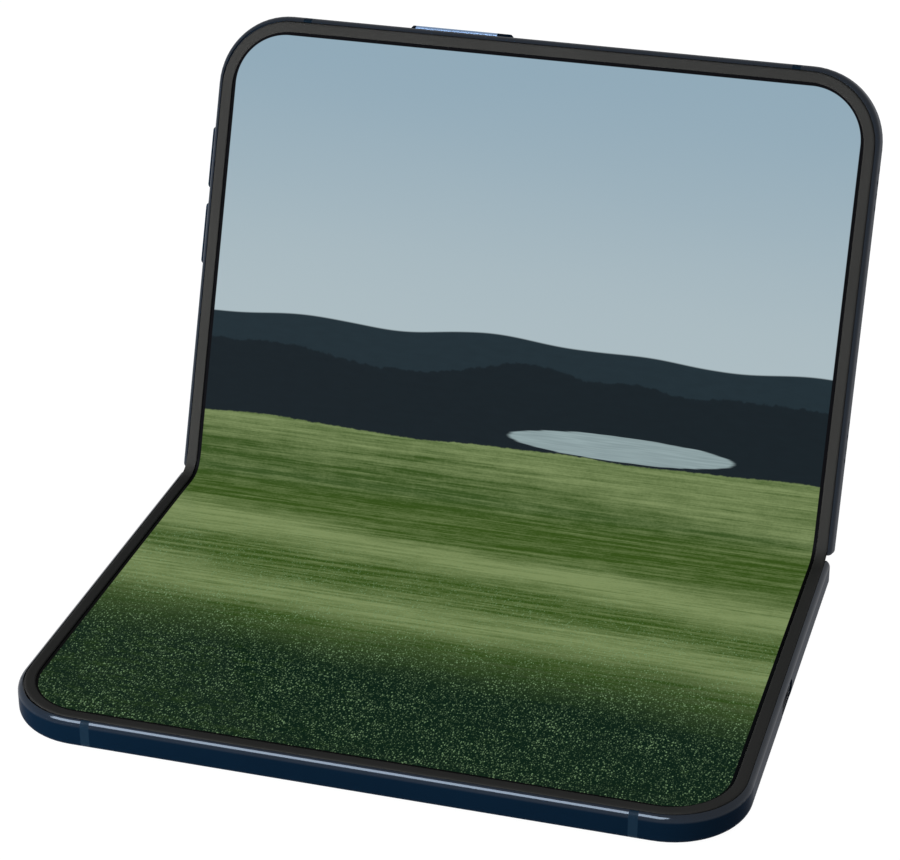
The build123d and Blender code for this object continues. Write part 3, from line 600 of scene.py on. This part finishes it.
def lake(graph, picture, x, s, view):
    """Still lake at the foot of the hills: a rippled ellipse, 42 mm long and 4.6 mm high."""
    ripple = graph.sheet_noise(x * 0.12, s * 3.0)
    across = (x - 21.0) / 21.0
    over = (s - 13.9 + 0.5 * (ripple - 0.5)) / 2.3
    shore = graph.smooth(1.0 - across * across - over * over, 0.0, 0.12)
    return graph.blend(shore, view, graph.blend(0.5 * ripple, picture.lake, picture.hill_far))


def meadow(graph, picture, x, s, trees, view):
    """Meadow of light and deep swells, drawn out into streaks, in shade with light grass tips at the front.

    The tips lie one to a Voronoi cell, each of its own brightness, and are denser in patches.
    """
    drift = graph.sheet_noise(x * 0.02, s * 0.03 + 5.0)
    lie = s + 0.06 * x + 12.0 * (drift - 0.5)
    streak = graph.sheet_noise(x * 0.026, s * 1.1, 5.0, 0.62) - 0.5
    thread = graph.sheet_noise(x * 0.09, s * 4.2 + 9.0, 3.0, 0.6) - 0.5
    clump = graph.sheet_noise(x * 0.26, s * 0.6 + 3.0, 4.0, 0.65) - 0.5
    blades = graph.sheet_noise(x * 1.6, s * 2.4, 3.0, 0.7) - 0.5
    swell = (
        0.62 * graph.smooth(lie, 1.0, 9.0)
        + 0.95 * graph.smooth(abs(lie + 19.0), 9.0, 0.0)
        + 0.75 * graph.smooth(abs(lie + 38.0), 9.0, 0.0)
    )
    texture = 1.9 * streak + 1.0 * thread + 0.6 * clump + 0.6 * blades
    light = graph.clamp(0.16 + 0.8 * swell + texture * graph.smooth(lie, -66.0, -38.0))
    grass = graph.blend(light, picture.meadow_deep, picture.meadow_light)
    shade = graph.smooth(12.0 * streak + 8.0 * clump - lie, 38.0, 60.0)
    mottle = 0.2 * graph.smooth(x, 10.0, -45.0) - 0.15 + 1.2 * blades + 1.0 * clump + 0.7 * streak
    shaded = graph.blend(graph.clamp(mottle), picture.meadow_shade, picture.meadow_deep)
    grass = graph.blend(0.98 * shade, grass, shaded)
    patch = graph.sheet_noise(x * 0.1, s * 0.16, 3.0)
    near = graph.smooth(lie, -4.0, -44.0) * (0.35 + 0.9 * patch)
    fine_tip, fine_chance = graph.cells(graph.combine(x * 3.8 + 40.0, s * 2.4))
    tip, chance = graph.cells(graph.combine(x * 2.5, s * 1.6))
    size = 0.24 + 0.26 * patch
    tips = graph.smooth(tip, size, 0.35 * size) * (0.2 + 1.0 * chance)
    fine_tips = graph.smooth(fine_tip, 0.46, 0.14) * fine_chance
    grass = graph.blend(graph.clamp(near * (tips + 0.55 * fine_tips)), grass, picture.grass_tip)
    edge_wave = graph.sheet_noise(x * 0.03 + 7.0, 0.0, 1.0)
    edge = 11.5 + 3.0 * (edge_wave - 0.5) + 0.5 * (trees - 0.5)
    return graph.blend(graph.smooth(edge - s, -0.15, 0.15), view, grass)


def panel_edge(screen):
    """Half width, reach and corner radius of the flexible panel, which is wider than the lit area."""
    lit = (screen.lit_half_width, screen.lit_reach, screen.lit_corner)
    return tuple(size + screen.margin for size in lit)


def landscape_finish(screen, picture):
    """Lit screen: a generic landscape of sky, rolling hills, lake and meadow, black outside the lit area."""
    material, graph = new_graph("lit_screen")
    u, v, _ = graph.split(graph.node("ShaderNodeUVMap", {"uv_map": "along_screen"}))
    panel_half_width, panel_reach, _ = panel_edge(screen)
    x = (u - 0.5) * (2 * panel_half_width / MM)
    s = (v - 0.5) * (2 * panel_reach / MM)
    trees = graph.sheet_noise(x * 0.9, s * 0.5, 3.0)
    view = hills_and_sky(graph, picture, x, s, trees)
    view = lake(graph, picture, x, s, view)
    view = meadow(graph, picture, x, s, trees, view)
    half_width, reach, corner = (
        size / MM for size in (screen.lit_half_width, screen.lit_reach, screen.lit_corner)
    )
    lit = graph.smooth(graph.outside_box(x, s, half_width, reach, corner), 0.04, -0.04)
    smear = graph.sheet_noise(x * 0.05, s * 0.05, 4.0)
    graph.principled(
        {
            "Base Color": (0.004, 0.004, 0.005, 1.0),
            "Roughness": 0.05 + 0.03 * smear + 0.35 * graph.smooth(abs(s), 9.0, 4.0),
            "Specular IOR Level": 0.006,
            "Emission Color": graph.blend(lit, (0.0, 0.0, 0.0), view),
            "Emission Strength": 1.0,
        }
    )
    return material


# ---------------------------------------------------------------- surfaces
def place_on_phone(x, reach, height, at_fold):
    """Points of the row frame: x along the fold, reach outwards, height above the axis plane.

    Where at_fold is true the point lies on the plane that halves the open angle, so it needs no reach.
    """
    lid = (reach > 0)[..., None]
    out = np.where(lid, LID_OUT, BASE_OUT) * np.abs(reach)[..., None]
    up = np.where(at_fold[..., None], FOLD_UP, np.where(lid, LID_UP, BASE_UP)) * height[..., None]
    along = x[..., None] * np.array((1.0, 0.0, 0.0))
    return FOLD_POINT + along + out + up


def grid_mesh(name, points, close_rows=False, close_columns=False, smooth=True):
    """Mesh of quads over a grid of points, whose rows or columns may close on themselves.

    Quad (i, j) joins grid points (i, j), (i, j+1), (i+1, j+1) and (i+1, j), with the indices wrapped
    where the grid closes.
    """
    rows, columns = points.shape[:2]
    index = np.arange(rows * columns).reshape(rows, columns)
    if close_rows:
        index = np.concatenate((index, index[:1]), axis=0)
    if close_columns:
        index = np.concatenate((index, index[:, :1]), axis=1)
    quads = np.stack((index[:-1, :-1], index[:-1, 1:], index[1:, 1:], index[1:, :-1]), axis=-1)
    mesh = bpy.data.meshes.new(name)
    mesh.from_pydata(points.reshape(-1, 3).tolist(), [], quads.reshape(-1, 4).tolist())
    mesh.polygons.foreach_set("use_smooth", np.full(len(mesh.polygons), smooth))
    mesh.update()
    piece = bpy.data.objects.new(name, mesh)
    bpy.context.scene.collection.objects.link(piece)
    return piece


def crease_columns(piece, chosen, column_count, weight):
    """Creases the edges that run along the chosen columns of a grid mesh."""
    mesh = piece.data
    ends = np.empty(2 * len(mesh.edges), int)
    mesh.edges.foreach_get("vertices", ends)
    ends = ends.reshape(-1, 2)
    first, second = ends[:, 0] % column_count, ends[:, 1] % column_count
    hard = (first == second) & np.isin(first, chosen)
    attribute = mesh.attributes.new("crease_edge", "FLOAT", "EDGE")
    attribute.data.foreach_set("value", np.where(hard, weight, 0.0).astype(np.float32))


# rows on each side of the fold, in bend steps: the first ends the bend, the rest lie wider apart
SIDE_ROWS = np.array((1.0, 2.0, 3.0, 4.5, 6.5, 9.0, 11.5))


def screen_rows(screen):
    """Reaches of the rows from the base's edge over the fold to the lid's, with the row at the fold."""
    _, limit, radius = panel_edge(screen)
    turn = np.linspace(0, pi / 2, screen.corner_steps)
    corner = limit - radius + radius * np.sin(turn)
    half = np.concatenate((screen.bend_step * SIDE_ROWS, corner))
    return np.concatenate((-half[::-1], (0.0,), half))


class PHONE_OT_screen(bpy.types.Operator):
    """Makes the inner screen as one sheet that bends at the fold"""

    bl_idname = "phone.screen"
    bl_label = "Inner Screen"

    def execute(self, context):
        screen = context.scene.phone_screen
        reach = screen_rows(screen)
        half_width, limit, radius = panel_edge(screen)
        beyond = np.clip(np.abs(reach) - (limit - radius), 0, radius)
        row_half_width = half_width - radius + np.sqrt(radius**2 - beyond**2)
        across = np.linspace(-1, 1, screen.columns + 1)
        x = row_half_width[:, None] * across
        grid_reach = np.broadcast_to(reach[:, None], x.shape)
        height = -screen.depth - screen.bend_sink * (grid_reach == 0)
        points = place_on_phone(x, grid_reach, height, grid_reach == 0)
        piece = grid_mesh("inner_screen", points)
        uv = np.stack((x / (2 * half_width), grid_reach / (2 * limit)), axis=-1) + 0.5
        corners = np.empty(len(piece.data.loops), int)
        piece.data.loops.foreach_get("vertex_index", corners)
        layer = piece.data.uv_layers.new(name="along_screen")
        layer.data.foreach_set("uv", uv.reshape(-1, 2)[corners].astype(np.float32).ravel())
        wall = piece.modifiers.new("panel", "SOLIDIFY")
        wall.thickness = screen.thickness
        wall.offset = -1.0
        wall.use_even_offset = False  # an even wall would grow a spike at the closed bend
        wall.material_offset = wall.material_offset_rim = 1
        wall.edge_crease_inner = wall.edge_crease_outer = 0.8
        add_subdivision(piece, 3)
        piece.data.materials.append(landscape_finish(screen, context.scene.phone_picture))
        piece.data.materials.append(plastic_finish("panel_back", tint(15, 15, 17), 0.45, level=0.2))
        cross_fold(piece)
        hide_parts("base_screen", "fold_screen", "lid_screen")
        return {"FINISHED"}


def add_subdivision(piece, levels):
    """Subdivision surface, the same on screen and in renders."""
    soften = piece.modifiers.new("soften", "SUBSURF")
    soften.levels = levels
    soften.render_levels = levels


def cross_fold(piece):
    """Bakes the piece's placement into its mesh."""
    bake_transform(piece)


def ring_stations(screen):
    """Stations round the bezel: x and reach of the place that the margin starts from, and of its direction.

    They go round the lid's right quarter, then its left one, the base's left and the base's right.
    """
    wide = screen.lit_half_width - screen.bezel_corner
    far = screen.lit_reach - screen.bezel_corner
    side = screen.bend_step * SIDE_ROWS
    turn = np.linspace(0, pi / 2, screen.corner_steps + 2)
    straight = len(side) + 1
    quarter = np.stack(
        (
            np.concatenate((np.full(straight + len(turn), wide), (wide / 2,))),
            np.concatenate(((0.0,), side, np.full(len(turn) + 1, far))),
            np.concatenate((np.ones(straight), np.cos(turn), (0.0,))),
            np.concatenate((np.zeros(straight), np.sin(turn), (1.0,))),
        )
    )
    end_middle = np.array((0.0, far, 0.0, 1.0))[:, None]
    flip_x = np.array((-1, 1, -1, 1))[:, None]
    flip_s = np.array((1, -1, 1, -1))[:, None]
    return np.concatenate(
        (
            quarter,
            end_middle,
            (quarter * flip_x)[:, :0:-1],
            quarter * flip_x * flip_s,
            end_middle * flip_s,
            (quarter * flip_s)[:, :0:-1],
        ),
        axis=1,
    )


def ring_section(screen):
    """Section of the bezel, as margins and heights: inner wall, flat top, outer slope, foot and lap."""
    inner, outer = screen.bezel_inner, screen.bezel_outer
    lap = screen.margin + 0.05 * MM
    top, foot = -screen.bezel_depth, -screen.bezel_foot
    seat = -screen.depth + 0.004 * MM
    soft = 0.06 * MM
    slope = screen.bezel_round
    section = (
        (inner, seat),
        (inner, top - soft),
        (inner + soft, top),
        ((inner + outer) / 2, top),
        (outer - slope, top),
        (outer - 0.4 * slope, top - 0.14 * slope),
        (outer, top - 0.6 * slope),
        (outer, foot),
        (lap, foot),
        (lap, seat),
    )
    return np.array(section).T


# points of the bezel's section whose edges stay hard: the inner wall and its rounding, foot and lap
HARD_COLUMNS = (0, 1, 2, 7, 8, 9)


class PHONE_OT_bezel(bpy.types.Operator):
    """Makes the raised bezel as one ring round both halves of the screen"""

    bl_idname = "phone.bezel"
    bl_label = "Bezel"

    def execute(self, context):
        screen = context.scene.phone_screen
        centre_x, centre_s, out_x, out_s = ring_stations(screen)
        margin, height = ring_section(screen)
        radius = screen.bezel_corner + margin
        x = centre_x[:, None] + radius * out_x[:, None]
        reach = centre_s[:, None] + radius * out_s[:, None]
        at_fold = reach == 0
        height = np.where(at_fold, np.maximum(height - screen.bend_sink, -screen.bezel_foot), height)
        points = place_on_phone(x, reach, height, at_fold)
        piece = grid_mesh("screen_bezel", points, close_rows=True, close_columns=True)
        crease_columns(piece, HARD_COLUMNS, len(margin), 0.9)
        add_subdivision(piece, 2)
        black = context.scene.phone_finish.bezel_black
        rubber = plastic_finish("bezel_rubber", black, 0.45, grain=3e-6, scale=9000.0, level=0.006)
        piece.data.materials.append(rubber)
        cross_fold(piece)
        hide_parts("base_bezel", "lid_bezel", "fold_bezel_left", "fold_bezel_right")
        return {"FINISHED"}


# ---------------------------------------------------------------- finishes of the CAD nodes
class PHONE_OT_finishes(bpy.types.Operator):
    """Gives each CAD node whose material slot is listed here the finish of that slot"""

    bl_idname = "phone.finishes"
    bl_label = "Finishes"

    def execute(self, context):
        finish = context.scene.phone_finish
        navy, edge, steel, silver = finish.frame_navy, finish.frame_edge, finish.steel, finish.sensor_silver
        made = {
            "frame_metal": anodised_finish("frame_navy", navy, edge),
            "key_metal": anodised_finish("key_navy", scaled(navy, 1.2), edge),
            "sensor_face": anodised_finish("sensor_silver", silver, edge, roughness=0.2, sheen=0.9),
            "aerial_plastic": plastic_finish("aerial_plastic", finish.aerial_blue, 0.4, level=0.03),
            "steel_plate": steel_finish("plate_steel", steel, 0.4),
            "cover_panel": glass_finish("cover_panel", tint(6, 7, 9), 0.1),
            "back_glass": glass_finish("frosted_glass", finish.back_navy, 0.34, level=0.02, frost=1.0),
            "battery": plastic_finish("battery_wrap", tint(40, 41, 44), 0.45),
            "board": board_finish("board_mask"),
            "module_plastic": plastic_finish("module_black", tint(24, 24, 26), 0.5),
            "magnet": steel_finish("magnet_nickel", tint(170, 171, 174), 0.25),
            "port_steel": steel_finish("port_steel", steel, 0.3),
            "port_plastic": tongue_finish("port_tongue", node_middle("usb_c_tongue")),
            "hinge_steel": steel_finish("hinge_steel", steel, 0.3),
            "screw_steel": steel_finish("screw_oxide", tint(60, 60, 64), 0.35),
            "spine_metal": anodised_finish("spine_navy", navy, edge, coat=0.2, grain=0.4),
            "island_metal": anodised_finish("island_navy", scaled(navy, 1.3), edge, roughness=0.3),
            "ring_metal": anodised_finish("ring_navy", scaled(navy, 2.2), edge, coat=0.2, grain=0.3),
            "flash_glass": flash_finish("flash_lens", node_middle("flash_window")),
            "mesh_steel": perforated_finish("mesh_steel", tint(92, 94, 98)),
            "cover_glass": self.display_glass(),
            "switch": plastic_finish("switch_plastic", tint(30, 30, 32), 0.5),
        }
        slots = {part["node"]: part["material_slot"] for part in frame["record"]["subparts"]}
        for name, node in nodes.items():
            material = made.get(slots[name])
            if material is not None:
                node.data.materials.clear()
                node.data.materials.append(material)
        for name, up in (("base_frame", BASE_UP), ("lid_frame", LID_UP)):
            nodes[name].data.materials[0] = anodised_finish(name + "_navy", navy, edge, up=up)
        return {"FINISHED"}

    def display_glass(self):
        """Finish of the glass over the outer display, whose place comes from the display's node."""
        low, high = (np.array(corner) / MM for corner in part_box("cover_screen"))
        fold = float(FOLD_POINT[1]) / MM
        half_width, near, far = float(high[0]), fold - float(high[1]), fold - float(low[1])
        border = 1.0
        return display_glass_finish("display_glass", half_width - border, near + border, far - border, 8.0)


# ---------------------------------------------------------------- cameras
def turned_on_lid(name, centre, profile, steps=96):
    """Surface turned about the lid's normal through a centre.

    Point (i, j) is centre + r_i (cos a_j across + sin a_j outwards) + h_i up, with (r_i, h_i) the profile in
    millimetres and a_j the angle. Ends at r = 0 are welded into poles.
    """
    radius, height = (np.array(profile, float) * MM).T
    angle = np.linspace(0, 2 * pi, steps, endpoint=False)
    spoke = np.cos(angle)[:, None] * np.array((1.0, 0.0, 0.0)) + np.sin(angle)[:, None] * LID_OUT
    points = centre + radius[:, None, None] * spoke + (height[:, None] * LID_UP)[:, None, :]
    piece = grid_mesh(name, points, close_columns=True)
    shell = bmesh.new()
    shell.from_mesh(piece.data)
    bmesh.ops.remove_doubles(shell, verts=shell.verts, dist=1e-6)
    bmesh.ops.recalc_face_normals(shell, faces=shell.faces)
    shell.to_mesh(piece.data)
    shell.free()
    edge = piece.modifiers.new("edges", "BEVEL")
    edge.width = 0.02 * MM
    edge.segments = 2
    edge.limit_method = "ANGLE"
    edge.angle_limit = radians(30)
    return piece


class PHONE_OT_cameras(bpy.types.Operator):
    """Makes each camera's clear cover glass and the stepped barrel with its front lens under it"""

    bl_idname = "phone.cameras"
    bl_label = "Cameras"

    def execute(self, context):
        cameras = context.scene.phone_cameras
        for name, front_radius in (("wide", cameras.wide_front), ("ultrawide", cameras.ultrawide_front)):
            self.make_camera_front(name, front_radius / MM, cameras)
        return {"FINISHED"}

    def make_camera_front(self, name, front, cameras):
        """Glass and barrel in the room of the node's disc, whose faces lie 0.3 mm from its middle."""
        centre = node_middle(name + "_lens_glass")
        rim = cameras.glass_radius / MM
        outer, inner = -0.3, 0.3
        glass_back = outer + cameras.glass_thickness / MM
        disc = ((0, outer), (rim - 0.06, outer), (rim, outer + 0.05), (rim, glass_back), (0, glass_back))
        glass = turned_on_lid(name + "_cover_glass", centre, disc)
        glass.data.materials.append(clear_finish(name + "_clear_glass"))
        # dome of the front lens: height falls with the square of the radius
        dome_radius = np.linspace(0, front, 9)
        dome_height = glass_back + 0.06 + 0.14 * (dome_radius / front) ** 2
        # round the lens: a groove, a raised lip, a cone, a ledge, and the wall down to the barrel's foot
        steps = (
            (front + 0.04, 0.2),
            (front + 0.14, 0.2),
            (front + 0.16, 0.06),
            (front + 0.44, 0.06),
            (front + 0.5, 0.22),
            (front + 1.1, 0.16),
            (front + 1.14, 0.08),
            (rim - 1.3, 0.04),
            (rim - 1.26, glass_back + 0.04),
            (rim - 0.02, glass_back + 0.03),
            (rim - 0.02, inner - 0.01),
            (0, inner - 0.01),
        )
        barrel = turned_on_lid(name + "_lens_barrel", centre, (*zip(dome_radius, dome_height), *steps))
        barrel.data.materials.append(barrel_finish(name + "_barrel_black", centre, front))
        for piece in (glass, barrel):
            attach(piece, "lid")
        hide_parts(name + "_lens_glass")


# ---------------------------------------------------------------- stage
def behind_camera_rays(graph):
    """1 for camera, glossy and transmission rays, 0 for the rays that carry light."""
    path = graph.node("ShaderNodeLightPath").socket.node
    camera, glossy, transmission = (
        Wire(graph, path.outputs[f"Is {kind} Ray"]) for kind in ("Camera", "Glossy", "Transmission")
    )
    return graph.clamp(camera + glossy + transmission)


WHITE = (1.0, 1.0, 1.0)
# each lamp's name, place, target, size, power in watts, colour, and the kind of ray that it is hidden from
LAMPS = (
    ("side_panel", (-0.24, -0.30, 0.04), (0.0, 0.06, 0.05), (0.22, 0.06), 1.9, WHITE, "glossy"),
    ("front_panel", (-0.28, -0.62, 0.76), (0.0, 0.0, 0.0), (1.0, 0.5), 29.0, (0.76, 0.88, 1.0), "diffuse"),
    ("low_panel", (0.0, -0.85, 0.17), (0.0, 0.07, 0.05), (0.9, 0.15), 4.2, WHITE, "glossy"),
    ("rear_panel", (0.3, 0.85, 0.5), (0.0, 0.05, 0.04), (0.6, 0.4), 6.0, WHITE, "glossy"),
)


class PHONE_OT_stage(bpy.types.Operator):
    """Makes the pale floor, the soft lamps, the white surroundings and the camera"""

    bl_idname = "phone.stage"
    bl_label = "Stage"

    def execute(self, context):
        stage = context.scene.phone_stage
        self.make_floor(stage)
        self.make_world(context.scene)
        for lamp in LAMPS:
            self.make_lamp(*lamp)
        self.make_camera(context.scene, stage)
        return {"FINISHED"}

    def make_floor(self, stage):
        """Flat square just under the phone: white where it is seen, but for a share that takes its shadow."""
        half = stage.floor_size / 2
        across = np.linspace(-half, half, 3)
        x, y = np.meshgrid(across, across, indexing="ij")
        points = np.stack((x, y, np.full(x.shape, -0.05 * MM)), axis=-1)
        floor = grid_mesh("floor", points, smooth=False)
        floor.data.flip_normals()
        material, graph = new_graph("white_floor")
        paper = graph.node("ShaderNodeBsdfDiffuse", {}, {"Color": (0.86, 0.86, 0.86, 1.0)})
        white = graph.node("ShaderNodeEmission", {}, {"Color": rgba(WHITE), "Strength": 1.12})
        share_of_white = 0.86 * behind_camera_rays(graph)
        graph.finish(graph.node("ShaderNodeMixShader", {}, {0: share_of_white, 1: paper, 2: white}))
        floor.data.materials.append(material)

    def make_world(self, scene):
        """White where it is seen, softer grey where it lights."""
        world = bpy.data.worlds.new("studio")
        world.use_nodes = True
        scene.world = world
        graph = Graph(world.node_tree)
        light = graph.node("ShaderNodeBackground", {}, {"Color": (0.95, 0.97, 1.0, 1.0), "Strength": 0.19})
        seen = graph.node("ShaderNodeBackground", {}, {"Color": rgba(WHITE), "Strength": 1.0})
        mixed = graph.node("ShaderNodeMixShader", {}, {0: behind_camera_rays(graph), 1: light, 2: seen})
        graph.node("ShaderNodeOutputWorld", {}, {"Surface": mixed})
        scene.view_settings.view_transform = "Standard"

    def make_lamp(self, name, place, target, size, power, light_colour, hidden_from):
        """Rectangular soft lamp aimed at a point; the camera doesn't see it."""
        lamp = bpy.data.lights.new(name, "AREA")
        lamp.shape = "RECTANGLE"
        lamp.size, lamp.size_y = size
        lamp.energy = power
        lamp.color = light_colour
        holder = bpy.data.objects.new(name, lamp)
        holder.location = place
        holder.rotation_mode = "QUATERNION"
        holder.rotation_quaternion = (Vector(target) - Vector(place)).to_track_quat("-Z", "Y")
        holder.visible_camera = False
        setattr(holder, "visible_" + hidden_from, False)
        bpy.context.scene.collection.objects.link(holder)

    def make_camera(self, scene, stage):
        """Camera at the photograph's place, level but for its roll."""
        camera = bpy.data.cameras.new("camera")
        camera.lens = stage.camera_lens
        camera.sensor_width = 36.0
        camera.clip_start = 0.01
        holder = bpy.data.objects.new("camera", camera)
        turn = Matrix.Rotation(stage.camera_azimuth, 4, "Z")
        lift = Matrix.Rotation(pi / 2 - stage.camera_elevation, 4, "X")
        roll = Matrix.Rotation(stage.camera_roll, 4, "Z")
        holder.matrix_world = Matrix.Translation(stage.camera_place) @ turn @ lift @ roll
        scene.collection.objects.link(holder)
        scene.camera = holder


# ---------------------------------------------------------------- add-on
class PHONE_PT_panel(bpy.types.Panel):
    """Lists the steps that build the phone's looks"""

    bl_label = "Foldable Smartphone"
    bl_idname = "PHONE_PT_panel"
    bl_space_type = "VIEW_3D"
    bl_region_type = "UI"
    bl_category = "Phone"

    def draw(self, context):
        for step in STEPS:
            self.layout.operator(step.bl_idname)
        for name in SETTINGS:
            settings = getattr(context.scene, name)
            box = self.layout.box()
            for field in settings.bl_rna.properties:
                if field.identifier not in ("rna_type", "name"):
                    box.prop(settings, field.identifier)


STEPS = (PHONE_OT_finishes, PHONE_OT_screen, PHONE_OT_bezel, PHONE_OT_cameras, PHONE_OT_stage)
SETTINGS = {
    "phone_screen": PhoneScreenSettings,
    "phone_cameras": PhoneCameraSettings,
    "phone_picture": PhonePictureSettings,
    "phone_finish": PhoneFinishSettings,
    "phone_stage": PhoneStageSettings,
}


def register():
    """Registers the classes and hangs the settings on the scene."""
    for kind in (*SETTINGS.values(), *STEPS, PHONE_PT_panel):
        bpy.utils.register_class(kind)
    for name, kind in SETTINGS.items():
        setattr(bpy.types.Scene, name, PointerProperty(type=kind))


def unregister():
    """Takes the settings and the classes away again."""
    for name in SETTINGS:
        delattr(bpy.types.Scene, name)
    for kind in (PHONE_PT_panel, *reversed(STEPS), *reversed(SETTINGS.values())):
        bpy.utils.unregister_class(kind)


def main():
    """Builds everything in order."""
    register()
    bpy.ops.phone.finishes()
    bpy.ops.phone.screen()
    bpy.ops.phone.bezel()
    bpy.ops.phone.cameras()
    bpy.ops.phone.stage()


if __name__ == "__main__":
    main()
